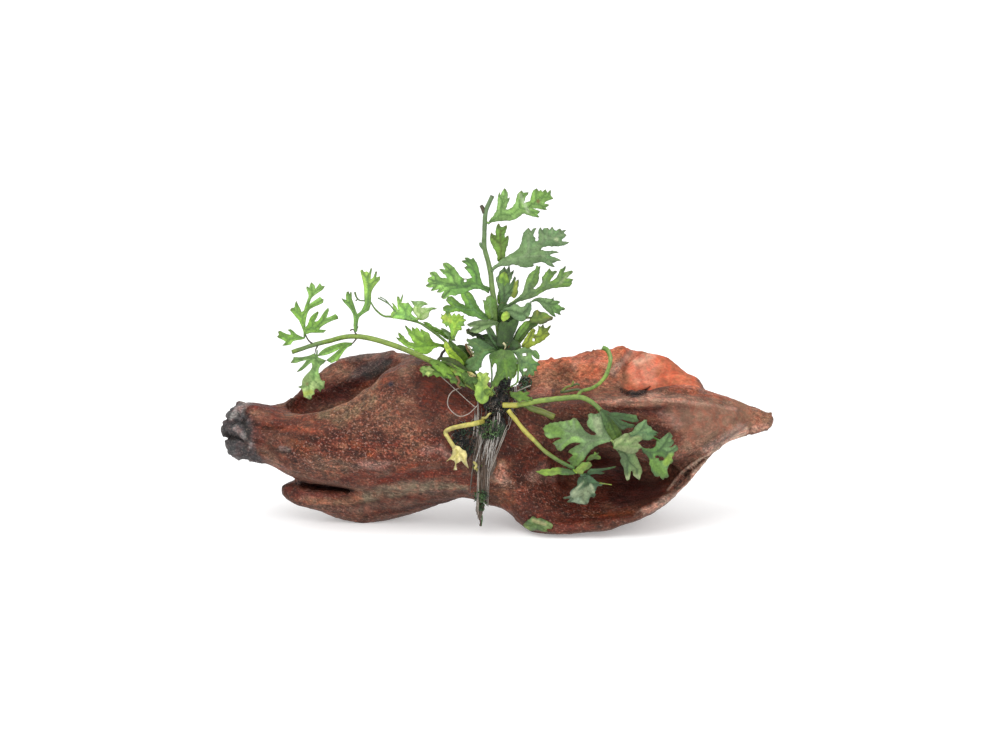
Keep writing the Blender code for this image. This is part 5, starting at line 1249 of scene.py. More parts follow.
# Wilted scraps and twigs, as slot, tone, radius in millimetres and column, row and depth of each point
TWIGS = [
    ("stem", "stalk_brown", 0.26, "314,344.5,3 309,341,3 306,336,3 304.5,331,3"),
    ("stem", "stalk_brown", 0.24, "318,345,3 315.5,350,3 314.5,356,3.2"),
    ("stem", "stalk_brown", 0.26, "358,336,0.8 355,332,0.8 354.5,327,0.8"),
    ("stem", "stalk_brown", 0.22, "350,330.5,0.8 353,329.5,0.8 355,331,0.8"),
    ("stem", "stalk_brown", 0.24, "358,326.5,0.8 357,329,0.8 355,331,0.8"),
    ("stem", "stalk_brown", 0.26, "357,338,0.8 353,343,1 350,344,1.1"),
    ("stem", "moss_green", 0.3, "355.3,292.5,0 357,297.5,0 360,300.5,0 365,301,0"),
    ("stem", "moss_green", 0.22, "356,301,0 358.5,299.5,0 361,301,0"),
    ("stem", "sage", 0.22, "378,298,0.8 384,301,0.6 390,305,0.4 395,311,0.2 399,316,0"),
    ("stem", "sage", 0.18, "380,297,0.8 385,299.5,0.6 389,303.5,0.4"),
    ("stem", "stalk_brown", 0.62, "484.5,214,-1 482.5,209,-0.6 481,206.5,-0.5"),
    ("stem", "sage", 0.45, "484,250,-2.4 481,246.5,-2.2 480.3,243.5,-2.2"),
    ("stem", "stem_green", 0.36, "496,378,-12.4 494.5,384,-12.6 491.5,389,-12.8 488,391,-12.8"),
    ("stem", "sage", 0.3, """491.2,359,-11.4 491.5,368,-11.4 492,376,-11.5 491.5,385,-11.8 494,392,-11.2
     498,397,-9.7"""),
    ("stem", "fresh_green", 0.3, "518,364.8,-10.6 518,374,-11.6 517,382,-12 512,386,-11.6 507,389,-9.7"),
    ("withered", "leaf_brown", 0.45, "456.5,376,-13.4 459.5,381,-13.6 458,385,-13.6 460.5,388,-13.6"),
    ("withered", "cream", 0.34, "503,343,-9.4 505.5,346,-9.5 504.5,350,-9.5"),
    ("withered", "leaf_brown", 0.3, "507,342,-9.3 509,345,-9.3 508,348,-9.3"),
    ("withered", "cream", 0.34, "468,346.5,-9.8 471,350,-9.8 473,354,-10 473.4,356,-10.8"),
    ("withered", "leaf_brown", 0.4, "466,344,-9.8 468,350,-9.8 471.5,356,-9.8 468.6,358.8,-9.4"),
    ("withered", "cream", 0.42, "468,373,-12.8 472,376,-13 476,376,-13"),
    ("withered", "straw", 0.42, "482,418,-11.2 486,417.5,-12.7 489,414,-13.1 491,413,-12"),
    ("withered", "straw", 0.4, "474,462,-14 476.5,465,-15 475,468,-14.9 478,469,-13.4"),
    ("withered", "olive", 0.4, "562,391,-13.5 566,387,-13.6 571,385.5,-13.8 573,381,-14"),
    ("withered", "dark_olive", 0.4, "560,392,-13.5 568,391,-13.7 576,389.5,-14.1 582,390.8,-14.9"),
    ("withered", "dark_olive", 0.34, "571,386,-13.8 576,384,-14 579,385,-14"),
    ("stem", "lime_olive", 0.24, "597,482,-20.4 604,483,-20.4 611,484,-20.6"),
    ("withered", "stalk_black", 0.5, """436.5,363.5,-6 439,359.5,-6.4 441,357,-6.6 442.5,353,-6.8
     445,350.5,-7 445.6,347.8,-7.4"""),
]

# Leaves that a short stalk joins to what carries them, by the name of the piece, and the stalk's radius and
# how far it goes into both, in millimetres
CARRIERS = {
    "top_leaflet": "main_frond_stem_skin", "second_right_leaflet": "main_frond_stem_skin",
    "middle_leaflet": "main_frond_stem_skin", "second_left_leaflet": "small_left_leaflet_leaf",
    "rolled_leaflet": "grey_right_leaflet_leaf", "outer_right_leaflet": "grey_right_leaflet_leaf",
    "grey_low_right_leaflet": "lower_dark_leaf_leaf", "blue_left_leaflet": "frond_foot_leaf_leaf",
    "yellow_low_leaflet": "frond_foot_leaf_leaf", "yellow_left_leaflet": "inner_left_leaf_leaf",
    "yellow_lobed_leaflet": "inner_left_leaf_leaf", "old_side_leaf": "yellow_lobed_leaflet_leaf",
    "thin_pale_leaflet": "thin_frond_stem_skin", "toothed_leaflet": "right_frond_stem_skin",
    "large_right_leaflet": "stem_wing_leaf_leaf", "pale_leaflet": "large_right_leaflet_leaf",
    "hanging_right_leaflet": "right_frond_stem_skin", "far_low_leaflet": "far_right_leaflet_leaf",
    "pointing_left_leaflet": "low_frond_stem_skin", "bud_leaflet": "pointing_left_leaflet_leaf",
    "crumpled_leaflet": "bud_leaflet_leaf", "dark_right_leaflet": "crumpled_leaflet_leaf",
}
STALK_RADIUS = 0.3
STALK_GRIP = 0.5

# Leaves with smooth rims
SMOOTH_RIMS = ("arching_top_leaflet", "arching_side_leaflet", "arching_hanging_leaflet",
               "arching_under_leaflet", "olive_strip_leaflet", "narrow_leaf", "dark_right_leaflet",
               "dead_leaf", "behind_strip_leaf")

# Small holes: the leaf, column, row and radius in squares
HOLES = [
    ("grey_low_right", 524.3, 354.8, 1.0),
    ("grey_low_right", 525.3, 370.2, 0.9),
    ("grey_low_right", 519.2, 351.2, 0.6),
    ("second_right", 537, 240, 1.2),
    ("olive_forked", 533.5, 340.5, 0.8),
    ("far_low", 656.5, 456.5, 1.0),
    ("far_low", 659.5, 457.6, 1.1),
    ("far_low", 662.2, 458.8, 0.8),
    ("first_left", 465, 281.5, 0.5),
]

# Spots on leaves: tone, strength and the stroke. The white green spots are painted highlights, and the shade
# green spots beside them on the crumpled leaflet are painted shade.
LEAF_SPOTS = [
    ("moss_green", 0.75, "486,391,3 480,397,3.4"),
    ("moss_green", 0.5, "478,384,2"),
    ("stalk_black", 0.8, "551,319,2 545,323,1.4"),
    ("moss_green", 0.7, "534,319,4 541,318,3"),
    ("yellow_green", 0.7, "445,318,3 451,321,2"),
    ("leaf_brown", 0.4, "450,323,1.4"),
    ("white_green_highlight", 0.8, "573,491,1.6 579,485,1.4 583,481,1"),
    ("shade_green", 0.7, "583,492,1.6 579,497,1.2"),
    ("white_green_highlight", 0.8, "590,484,1.5 593,491,1.5"),
    ("shade_green", 0.6, "586,478,2.4 587,487,1.4"),
    ("sage", 0.6, "502,355,6 510,355,4"),
    ("shade_green", 0.5, "604,420,1 610,430,1.2"),
    ("leaf_brown", 0.8, "538,203,2.2"),
    ("white_green_highlight", 0.6, "556,240,2.5"),
    ("dark_olive", 0.8, "537,240,1"),
    ("yellow_green", 0.9, "516,282,2 515,292,2.6 512,300,2.4"),
    ("white_green_highlight", 0.35, "560,284,1.6 568,274,1.4"),
    ("deep_green", 0.6, "432,281,1 460,286,1.2 486,290,1"),
    ("yellow_green", 0.8, "304,394,3 311,392,3"),
    ("leaf_brown", 0.6, "307,384,2"),
    ("fresh_green", 0.7, "548,428,6 560,432,5"),
    ("fresh_green", 0.5, "567,446,5 575,462,6"),
    ("white_green_highlight", 0.45, "596,420,5 598,432,4"),
    ("lime", 0.8, "538,471,3 556,470,5"),
    ("fresh_green", 0.8, "652,462,6 662,472,6"),
    ("lime", 0.8, "670,456,4 665,462,4"),
    ("deep_green", 0.7, "640,449,3 650,456,2.5"),
    ("white_green_highlight", 0.6, "626,477,3 637,476,3"),
    ("white_green_highlight", 0.5, "574,494,4 590,488,4 582,501,3"),
    ("blue_green", 0.6, "584,480,4"),
    ("white_green_highlight", 0.4, "528,213,2 520,196,2"),
    ("lime", 0.5, "452,318,4 459,316,3"),
    ("leaf_brown", 0.6, "455,372,2"),
    ("cream", 0.6, "533,520,2 545,524,2"),
]


def plate_face(name):
    """The middle, the normal and the corners of the front face of a leaf's plate."""
    plate = copy_of([name], name + "_plate")
    with edit_mode():
        bpy.ops.mesh.dissolve_limited(angle_limit=math.radians(1))
    mesh = plate.data
    face = max(mesh.polygons, key=lambda f: f.area * (f.normal.dot(SIGHT) < 0))
    found = face.center.copy(), face.normal.copy(), [mesh.vertices[i].co.copy() for i in face.vertices]
    bpy.data.objects.remove(plate)
    return found


def toothed(corners, normal, teeth):
    """An outline with pointed lobes and eased bends and, where wanted, small teeth between its corners."""
    turn = math.copysign(1, sum(a.cross(b).dot(normal) for a, b in zip(corners, corners[1:] + corners[:1])))
    outline = []
    for before, corner, after in zip(corners[-1:] + corners[:-1], corners, corners[1:] + corners[:1]):
        edge, last = after - corner, corner - before
        bend = last.cross(edge).dot(normal) * turn / max(last.length * edge.length, 1e-12)
        pointed = bend > 0.5 or last.dot(edge) < 0
        ease = POINTED_EASE if pointed else BEND_EASE
        outline += [corner.lerp(before, ease), corner.lerp(after, ease)]
        count = teeth * int(TOOTHED_SHARE * edge.length / MM / TOOTH_PITCH)
        out = edge.cross(normal).normalized() * turn
        for number in range(count):
            tip = corner.lerp(after, BEND_EASE + TOOTHED_SHARE * (number + 0.65) / count)
            outline.append(tip + out * DICE.uniform(0.05, 0.17) * MM)
            if number < count - 1:
                notch = corner.lerp(after, BEND_EASE + TOOTHED_SHARE * (number + 1) / count)
                outline.append(notch - out * 0.03 * MM)
    return outline


def eat_holes(leaf):
    """Takes out the small round holes of the photograph."""
    column, row = on_drawing(places_of(leaf))
    gone = np.zeros(len(column), bool)
    for name, hole_column, hole_row, radius in HOLES:
        if leaf.name.startswith(name):
            gone |= np.hypot(column - hole_column, row - hole_row) < radius
    if not gone.any():
        return
    only(leaf)
    bpy.ops.object.mode_set(mode="EDIT")
    bpy.ops.mesh.select_all(action="DESELECT")
    bpy.ops.object.mode_set(mode="OBJECT")
    leaf.data.vertices.foreach_set("select", gone)
    bpy.ops.object.mode_set(mode="EDIT")
    bpy.ops.mesh.delete(type="VERT")
    bpy.ops.object.mode_set(mode="OBJECT")


def sheet(name, outline):
    """A leaf's flat sheet as a grid of small cells, from its outline or else from its plate."""
    words = outline.split()
    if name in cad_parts:
        middle, normal, corners = plate_face(name)
    else:
        middle = drawn(MIDDLE_COLUMN, GROUND_ROW, float(words.pop(0)))
        normal, corners = Vector((0, -1, 0)), []
    if words:
        starts = [drawn(*place, 0) for place in places_in(" ".join(words))]
        corners = [p + SIGHT * ((middle - p).dot(normal) / SIGHT.dot(normal)) for p in starts]
    eased = toothed(corners, normal, 0 if name in SMOOTH_RIMS else 1)
    mesh = bpy.data.meshes.new(name + "_leaf")
    mesh.from_pydata(eased, [], [range(len(eased))])
    leaf = add_object(name + "_leaf", mesh)
    only(leaf)
    side = Vector((0, 0, 1)).cross(normal).normalized()
    with edit_mode():
        for way in (side, normal.cross(side)):
            low, high = min(p.dot(way) for p in eased), max(p.dot(way) for p in eased)
            count = int((high - low) / MM / LEAF_CELL)
            for step in range(1, count + 1):
                bpy.ops.mesh.select_all(action="SELECT")
                bpy.ops.mesh.bisect(plane_co=way * (low + (high - low) * step / (count + 1)), plane_no=way)
        bpy.ops.mesh.select_all(action="SELECT")
        bpy.ops.mesh.remove_doubles(threshold=0.00004)
    eat_holes(leaf)
    if leaf.data.polygons[0].normal.dot(SIGHT) > 0:
        leaf.data.flip_normals()
    return leaf, middle, normal


def cell_links(mesh):
    """The vertices that share a cell with each vertex, and the edges on the sheet's rim."""
    links = [[] for _ in mesh.vertices]
    faces_on = {}
    for face in mesh.polygons:
        for edge in face.edge_keys:
            faces_on[edge] = faces_on.get(edge, 0) + 1
        corners = list(face.vertices)
        for i, a in enumerate(corners):
            for b in corners[i + 1:]:
                links[a].append(b)
                links[b].append(a)
    return links, {edge for edge, count in faces_on.items() if count == 1}


def ways_from(start, places, links, inset):
    """The easiest way from the base to each vertex, in the middle of the lobes: the vertex before it on that
    way, and the way's length."""
    reach, length = [math.inf] * len(places), [math.inf] * len(places)
    come_from = [None] * len(places)
    reach[start] = length[start] = 0
    queue = [(0, start)]
    while queue:
        cost, i = heapq.heappop(queue)
        if cost > reach[i]:
            continue
        for j in links[i]:
            step = (places[i] - places[j]).length
            through = cost + step / (RIM_EASE + min(inset[i], inset[j]))
            if through < reach[j]:
                reach[j], come_from[j], length[j] = through, i, length[i] + step
                heapq.heappush(queue, (through, j))
    return come_from, length


def lobe_tips(rim, around, length):
    """The vertices of the rim that are further from the base than those beside them."""
    tips = []
    for i in rim:
        near, seen = [i], {i}
        for _ in range(TIP_STEPS):
            near = [j for k in near for j in around[k] if j not in seen]
            seen.update(near)
        if LEAST_LOBE < length[i] < math.inf and all(length[i] >= length[j] for j in seen):
            tips.append(i)
    return tips


def vein_tree(leaf, base, normal):
    """How far each vertex is from the base, the nearest vein and the rim, its side of the vein, and the
    places of the lobes' tips. Veins run along the easiest ways from the base to the tips."""
    places = [v.co / MM for v in leaf.data.vertices]
    links, rim_edges = cell_links(leaf.data)
    rim = sorted({v for edge in rim_edges for v in edge})
    rim_finder = finder([places[i] for i in rim], rim)
    inset = [rim_finder.find(place)[2] for place in places]
    start = min(range(len(places)), key=lambda i: (places[i] - base / MM).length)
    come_from, length = ways_from(start, places, links, inset)
    around = {i: [j for j in links[i] if (min(i, j), max(i, j)) in rim_edges] for i in rim}
    tips = lobe_tips(rim, around, length)
    on_vein = set()
    for tip in tips:
        i = tip
        while i is not None and i not in on_vein:
            on_vein.add(i)
            i = come_from[i]
    on_vein.add(start)
    veins = finder([places[i] for i in on_vein], on_vein)
    from_vein, side = [], []
    for place in places:
        foot, i, away = veins.find(place)
        back = i
        for _ in range(TIP_STEPS):
            back = come_from[back] if come_from[back] is not None else back
        across = (places[i] - places[back]).cross(place - foot).dot(normal)
        from_vein.append(away)
        side.append(math.tanh(away / VEIN_WIDTH) * (math.copysign(1, across) if across else 0))
    far = max((v for v in length if v != math.inf), default=1)
    length = np.array([far if v == math.inf else v for v in length])
    return length, np.array(from_vein), np.array(side), np.array(inset), [places[i] for i in tips]


def paint_leaf(leaf, places, veins, share, tones, light, blue, seed):
    """A leaf's tones: its main one, that of its tips and that of its veins, painted light and shade on the
    two sides of each vein, then the spots.
    """
    _, from_vein, side, inset, tips = veins
    main, tips_tone, vein_tone = tones
    column, row = on_drawing(places)
    colour = np.tile(tone(main), (len(places), 1))
    patches = noise_at(places, 3.0, seed + 7)
    lay(colour, tips_tone, smooth_step((share - 0.45 + 0.35 * patches) / 0.4) * 0.7)
    # Random patches, and one side of each vein painted lighter and the other darker: painted light and shade
    # on the fold
    colour *= (1 + 0.16 * patches + 0.1 * noise_at(places, 1.3, seed + 9) + 0.17 * side)[:, None]
    lay(colour, vein_tone, hump(from_vein, VEIN_WIDTH) * 0.75)
    colour *= (1 + 0.14 * hump(from_vein - PALE_BAND, VEIN_WIDTH))[:, None]
    colour *= (0.8 + 0.26 * smooth_step(inset / 0.5))[:, None]
    if tips:
        tip_finder = finder(tips)
        near_tip = np.array([tip_finder.find(Vector(place) / MM)[2] for place in places])
        lay(colour, "leaf_brown", smooth_step((BROWN_TIP - near_tip) / 0.5) * 0.25)
    for name, strength, stroke in LEAF_SPOTS:
        lay(colour, name, strength * brush(column, row, stroke))
    set_tint(leaf, colour * LEAF_LIGHT * light * np.array([1, 1, blue]))


def shape_leaf(leaf, base, normal, tones, fold, curl, light, blue, seed):
    """Folds, curls and paints a flat sheet, and gives it a thin body."""
    veins = vein_tree(leaf, base, normal)
    length, from_vein = veins[:2]
    places = places_of(leaf)
    share = length / max(length.max(), TINY)
    waves = noise_at(places, 4.5, seed) * 0.5 + noise_at(places, 1.8, seed + 3) * 0.22
    offset = -fold * np.minimum(from_vein, FOLD_REACH) + curl * (share ** 2 - 0.35)
    offset = offset + waves * smooth_step(share * 2)
    offset += RIB_HEIGHT * hump(from_vein, RIB_WIDTH)
    paint_leaf(leaf, places, veins, share, tones, light, blue, seed)
    set_share(leaf, "vein", hump(from_vein, 0.26))
    places += np.array(SIGHT)[None, :] * (offset * MM)[:, None]
    put_places(leaf, places)
    apply(leaf, "SOLIDIFY", thickness=LEAF_THICKNESS * MM, offset=0, use_even_offset=False)
    shade_smooth(leaf)


def laid_on(leaf, ground, lift):
    """Moves a leaf along the line of sight onto what is behind it, and keeps a little of its own curl."""
    places = places_of(leaf)
    columns, rows = on_drawing(places)
    gaps = np.full(len(places), np.nan)
    for i, place in enumerate(places):
        under = ground(columns[i], rows[i], lift)
        if under:
            gaps[i] = (under - Vector(place)).dot(SIGHT)
    near = np.nanmin(gaps)
    moved = near + (np.where(np.isnan(gaps), near, gaps) - near) * 0.7
    put_places(leaf, places + moved[:, None] * np.array(SIGHT))


def make_leaves(material, wood):
    ground = ground_cast([wood])
    for number, (name, facts) in enumerate(LEAVES.items()):
        column, row, main, tips, veins, fold, curl, light, blue, outline = facts
        leaf, middle, normal = sheet(name, outline)
        base = drawn(column, row, 0)
        base += SIGHT * ((middle - base).dot(normal) / SIGHT.dot(normal))
        shape_leaf(leaf, base, normal, (main, tips, veins), fold, curl, light, blue, 10.0 + number)
        if name == "fallen_leaflet":
            laid_on(leaf, ground, 0.2)
        finish_piece(leaf, material, [name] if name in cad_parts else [])


# Stems

# How deep a stem's knots are and how much a twig tapers
KNOT_HEIGHT = 0.07
TWIG_TAPER = 0.35

# Each stem: its slot, its radii in millimetres and its tones at both ends, and column, row and depth of its
# points
STEMS = {
    "main_frond_stem": ("stem", 0.85, 0.6, "stem_green", "sage", """499,380,-9 500,352,-7.5 498.5,330,-6.5
        496.5,312,-5.5 492.3,290,-4.5 490,270,-3.5 484.7,249,-2.5 484.5,235,-2 486,213,-1 492.5,197,-0.5"""),
    "arching_frond_stem": ("stem", 0.9, 0.62, "stem_lime", "stem_green", """498,395.5,-9.6 487,392,-9.3
        474,387,-9.3 460,378,-9 443,368,-7 431,361,-5.5 404,349,-3 377,340,-0.8 358,336.5,0.8 345,337,1.6
        329,341,2.5 313,345,3.2 292,352,4"""),
    "thin_frond_stem": ("stem", 0.5, 0.24, "moss_green", "fresh_green", """488,392.5,-9.3 482,384,-8.9
        475,374,-8.3 466,364,-8 448,344,-5 431,330,-3 417,322,-1.5 393,317,1 384,316,2 376,310,3
        370,301,3.5"""),
    "right_frond_stem": ("stem", 0.74, 0.66, "stem_lime", "mid_green", """503,405,-12.2 516,405,-13
        524,403.5,-14 544,400,-15 564,398,-16 579,397,-17 591,402,-17.5 602,413,-18 608,424,-18 612,438,-18
        616,448,-18"""),
    "low_frond_stem": ("stem", 0.66, 0.5, "yellow", "mid_green", """508,410,-13 516,420,-14 524,430,-15.5
        533,439,-16.5 545,451,-17.5 560,461,-18.5 574,468,-19.4"""),
    "curled_shoot": ("young_leaf", 0.42, 0.66, "stem_green", "fresh_green", """576,396.6,-16.7 581,391,-15
        590,388.5,-13.5 598,384,-11.5 605,376,-9.5 608.5,367,-8 610,358,-7 607,350.5,-6.5 602,347.5,-6.5"""),
    "cut_stipe": ("young_leaf", 0.7, 0.95, "moss_green", "olive", """519,404,-13.4 526,405,-12.7
        531,408,-12.5 543,412,-12.8 554,417,-13"""),
    "dead_frond_stem": ("withered", 0.72, 0.55, "yellow", "straw", """484,421.5,-10.5 480,422,-14.3
        476,423,-17 463,425.5,-17 452,428,-17.2 446,432,-17.4 450,440,-17.4 454.5,447,-17.4
        454.6,449,-18.6"""),
}

# Tones painted on stems: tone, strength and the stroke
STEM_SPOTS = [
    ("stalk_brown", 1.0, "492.5,196.5,1.6"),
    ("stalk_brown", 0.9, "481,206.5,2"),
    ("stalk_brown", 0.9, "293,352,1.2"),
    ("yellow", 0.8, "503,405,6 514,405,4"),
    ("yellow", 0.6, "514,417,8 532,438,4"),
    ("stem_lime", 0.5, "432,359,3 452,370,3"),
    ("moss_green", 0.5, "560,399,3 572,398,2"),
    ("leaf_brown", 0.4, "521,403,2"),
    ("stem_lime", 0.7, "607,358,3 600,383,3"),
    ("stalk_brown", 0.5, "601,347.5,1.6"),
    ("leaf_brown", 0.4, "447,431,2 463,425,1.2"),
    ("pale_green", 0.7, "608.5,351,1.6 611,361,1.4"),
    ("stalk_brown", 0.6, "529,403,1.1"),
    ("stalk_brown", 0.5, "546,399,0.9"),
    ("leaf_brown", 0.5, "519,424,1"),
    ("stalk_brown", 0.5, "530,436,1"),
    ("deep_green", 0.5, "545,400.5,1.4 556,400.5,1.2"),
    ("moss_green", 0.6, "596,386,1.4"),
    ("moss_green", 0.6, "607,373,1.4"),
    ("deep_green", 0.4, "384,344,1.4"),
    ("stem_lime", 0.8, "420,354,2.4 445,366,2.4"),
    ("sage", 0.6, "300,350,4 320,343,3"),
]


def stem_skin(obj, start_tone, end_tone, path):
    """Ribs and knots in a stem's surface, and its tones from one end to the other, with painted light on its
    upper side and painted shade on its lower side.
    """
    places, normals = places_of(obj), normals_of(obj)
    along = finder(path)
    share = np.array([along.find(Vector(place))[1] for place in places]) / (len(path) - 1)
    lumps = noise_at(places, 1.6, 21.0)
    put_places(obj, places + normals * ((KNOT_HEIGHT * lumps) * MM)[:, None])
    column, row = on_drawing(places)
    colour = tone(start_tone) + (tone(end_tone) - tone(start_tone)) * smooth_step(share)[:, None]
    # Lighter on the knots, and lighter on the upper side and darker on the lower side: painted light from
    # above
    colour = colour * (1 + 0.12 * lumps + 0.2 * normals[:, 2])[:, None]
    mottle = 0.4 * smooth_step((noise_at(places, 0.9, 37.0) - 0.1) / 0.25)
    colour += (tone("moss_green") * 0.9 - colour) * mottle[:, None]
    for name, strength, stroke in STEM_SPOTS:
        lay(colour, name, strength * brush(column, row, stroke))
    set_tint(obj, colour * (1 + (LEAF_LIGHT - 1) * 0.7))


def make_stems(material):
    for name, (slot, start, end, start_tone, end_tone, points) in STEMS.items():
        path = drawn_path(points, 8)
        radii = [start + (end - start) * i / (len(path) - 1) for i in range(len(path))]
        radii = [r * (1 + 0.05 * noise.noise(Vector((i * 0.35, start, 0)))) for i, r in enumerate(radii)]
        stem = wires(name + "_skin", [(path, radii)], 10)
        stem_skin(stem, start_tone, end_tone, path)
        finish_piece(stem, material, [name])


def make_twigs(material):
    for number, (slot, twig_tone, radius, points) in enumerate(TWIGS):
        path = drawn_path(points, 5)
        radii = [radius * (1 - TWIG_TAPER * i / len(path)) for i in range(len(path))]
        twig = wires("twig_%d" % number, [(path, radii)], 6)
        stem_skin(twig, twig_tone, twig_tone, path)
        finish_piece(twig, material)


def join_leaves(material):
    """A short stalk across the narrowest gap between each leaf and what carries it."""
    for name, carrier in CARRIERS.items():
        tree = surface_tree(bpy.data.objects[carrier])
        places = [v.co for v in bpy.data.objects[name + "_leaf"].data.vertices]
        feet = [tree.find_nearest(place) for place in places]
        nearest = min(range(len(places)), key=lambda i: feet[i][3])
        start, end = places[nearest], feet[nearest][0]
        grip = (end - start).normalized() * STALK_GRIP * MM
        path = smooth_path([start - grip, (start + end) / 2, end + grip], 5)
        stalk = wires(name + "_stalk", [(path, [STALK_RADIUS] * len(path))], 6)
        main = LEAVES[name][2]
        stem_skin(stalk, main, main, path)
        finish_piece(stalk, material)


# Roots, moss and line


def ground_cast(surfaces):
    """Gives the front of the given surfaces at a column and row, or nothing beside them."""
    trees = [surface_tree(o) for o in surfaces]

    def front(column, row, lift):
        start = drawn(column, row, 0) - SIGHT * 0.2
        hits = [hit for hit in (tree.ray_cast(start, SIGHT) for tree in trees) if hit[0]]
        if not hits:
            return None
        place = min((hit[0] for hit in hits), key=lambda p: (p - start).length)
        return place - SIGHT * lift * MM
    return front


# A thread's steps, the cells of the root mat in metres, and how much its surface is drawn in, in millimetres
THREAD_STEPS = 10
MAT_VOXEL = 0.0004
MAT_THINNED = 0.75

# The crown's top and the mossy root that hangs from the mat, as columns, rows and depths, and the stroke of
# moss on the mat
CROWN_TOP = "498,386,-9.8 505,383,-9.6 513,384,-9.4"
CROWN_RADII = [2.2, 2.6, 1.8]
TAIL = "479,500,-12 478,508,-12.4 482,516,-12 481,526,-11.6"
MOSSY_MAT = "482,428,10 498,430,9"

# Groups of threads: how many, the box of columns and rows where they start, how far they run down and
# across, how far they bend, how far in front of what carries them, their radius, and their tones
THREADS = [
    (60, (490, 376, 516, 400), (-8, 14), (-12, 12), 3.5, (0.1, 0.9), (0.08, 0.16),
     ("root_black", "root_brown")),
    (46, (486, 398, 512, 418), (2, 16), (-9, 7), 3.0, (0.1, 0.7), (0.08, 0.15),
     ("root_black", "root_black", "root_grey")),
    (150, (453, 421, 477, 458), (-6, 9), (-7, 7), 3.0, (0.1, 0.7), (0.07, 0.14),
     ("root_black", "root_black", "root_black", "shade_green", "root_grey")),
    (40, (474, 406, 500, 430), (22, 44), (-14, -2), 1.6, (0.1, 0.6), (0.08, 0.16),
     ("root_brown", "root_black", "root_grey")),
    (44, (472, 440, 488, 462), (18, 40), (-5, 3), 1.4, (0.1, 0.5), (0.08, 0.18),
     ("root_brown", "root_brown", "root_grey")),
    (20, (478, 428, 500, 442), (14, 30), (-10, -3), 0.8, (0.5, 0.9), (0.08, 0.16),
     ("thread_pale", "root_grey", "root_brown")),
    (16, (486, 430, 498, 446), (14, 28), (-6, -1), 0.6, (0.6, 1.0), (0.07, 0.13),
     ("thread_pale", "thread_pale")),
    (24, (496, 380, 514, 392), (-6, 8), (-10, 10), 3.0, (0.1, 1.0), (0.08, 0.18),
     ("root_black", "root_black", "moss")),
    (5, (474, 406, 484, 416), (20, 34), (-5, 2), 1.0, (0.6, 0.9), (0.1, 0.15), ("thread_pale", "root_grey")),
    (8, (493, 404, 500, 412), (14, 26), (-6, 1), 1.2, (0.6, 1.0), (0.1, 0.16), ("root_grey", "thread_pale")),
    (14, (474, 490, 484, 500), (6, 14), (-5, 6), 1.6, (0.2, 0.8), (0.1, 0.2), ("moss", "root_brown")),
    (10, (506, 374, 530, 392), (2, 10), (-6, 6), 2.0, (0.2, 0.7), (0.1, 0.18),
     ("moss", "root_black", "moss_pale")),
]

# Moss: how many flakes, the box of columns and rows, how far in front, and their tones
MOSS = [
    (150, (478, 419, 502, 440), (0.2, 1.0), ("moss", "moss_light", "shade_green", "root_black")),
    (70, (519, 376, 532, 391), (0.2, 0.8), ("moss", "shade_green", "moss_pale")),
    (130, (474, 488, 488, 510), (0.1, 0.9), ("moss", "moss_green", "shade_green", "shade_green")),
    (34, (486, 398, 516, 416), (0.3, 1.0), ("root_black", "shade_green", "root_brown")),
    (150, (453, 422, 476, 459), (0.2, 0.7), ("root_black", "root_black", "shade_green")),
    (12, (473, 460, 482, 474), (0.3, 0.8), ("straw", "olive")),
]


def in_box(box):
    """A place at random in the oval that fills a box of columns and rows."""
    angle, far = DICE.uniform(0, 2 * math.pi), 0.5 * DICE.random() ** 0.6
    return (box[0] + (box[2] - box[0]) * (0.5 + far * math.cos(angle)),
            box[1] + (box[3] - box[1]) * (0.5 + far * math.sin(angle)))


def thread_path(front, box, down, across, bend, lift):
    """One thread's way over what is behind it, from a place at random in a box."""
    column, row = in_box(box)
    end_column, end_row = column + DICE.uniform(*across), row + DICE.uniform(*down)
    sway = [DICE.uniform(-bend, bend) for _ in range(4)]
    height = DICE.uniform(*lift)
    path = []
    for step in range(THREAD_STEPS + 1):
        t = step / THREAD_STEPS
        swing = math.sin(math.pi * t)
        ripple = sway[2] * math.sin(2.6 * math.pi * t) * 0.4
        place = front(column + (end_column - column) * t + sway[0] * swing + ripple,
                      row + (end_row - row) * t + sway[1] * swing * 0.5, height * (0.35 + 0.65 * swing))
        if place:
            path.append(place)
    return path


def thread_routes(front):
    """Root threads that run over the wood and the root mat, with a tone for each."""
    routes, tones = [], []
    for count, box, down, across, bend, lift, radius, names in THREADS:
        for _ in range(count):
            path = thread_path(front, box, down, across, bend, lift)
            if len(path) > 4:
                thick = DICE.uniform(*radius)
                routes.append((path, [thick * (1 - 0.5 * i / len(path)) for i in range(len(path))]))
                tones.append(DICE.choice(names))
    return routes, tones


def paint_by_route(obj, routes, tones):
    """Gives each thread of a mesh its own tone."""
    owner = [number for number, (path, _) in enumerate(routes) for _ in path]
    along = finder([point for path, _ in routes for point in path])
    places = places_of(obj)
    shade = noise_at(places, 1.1, 31.0)
    colour = np.array([tone(tones[owner[along.find(Vector(place))[1]]]) for place in places])
    set_tint(obj, colour * (1 + 0.25 * shade)[:, None])


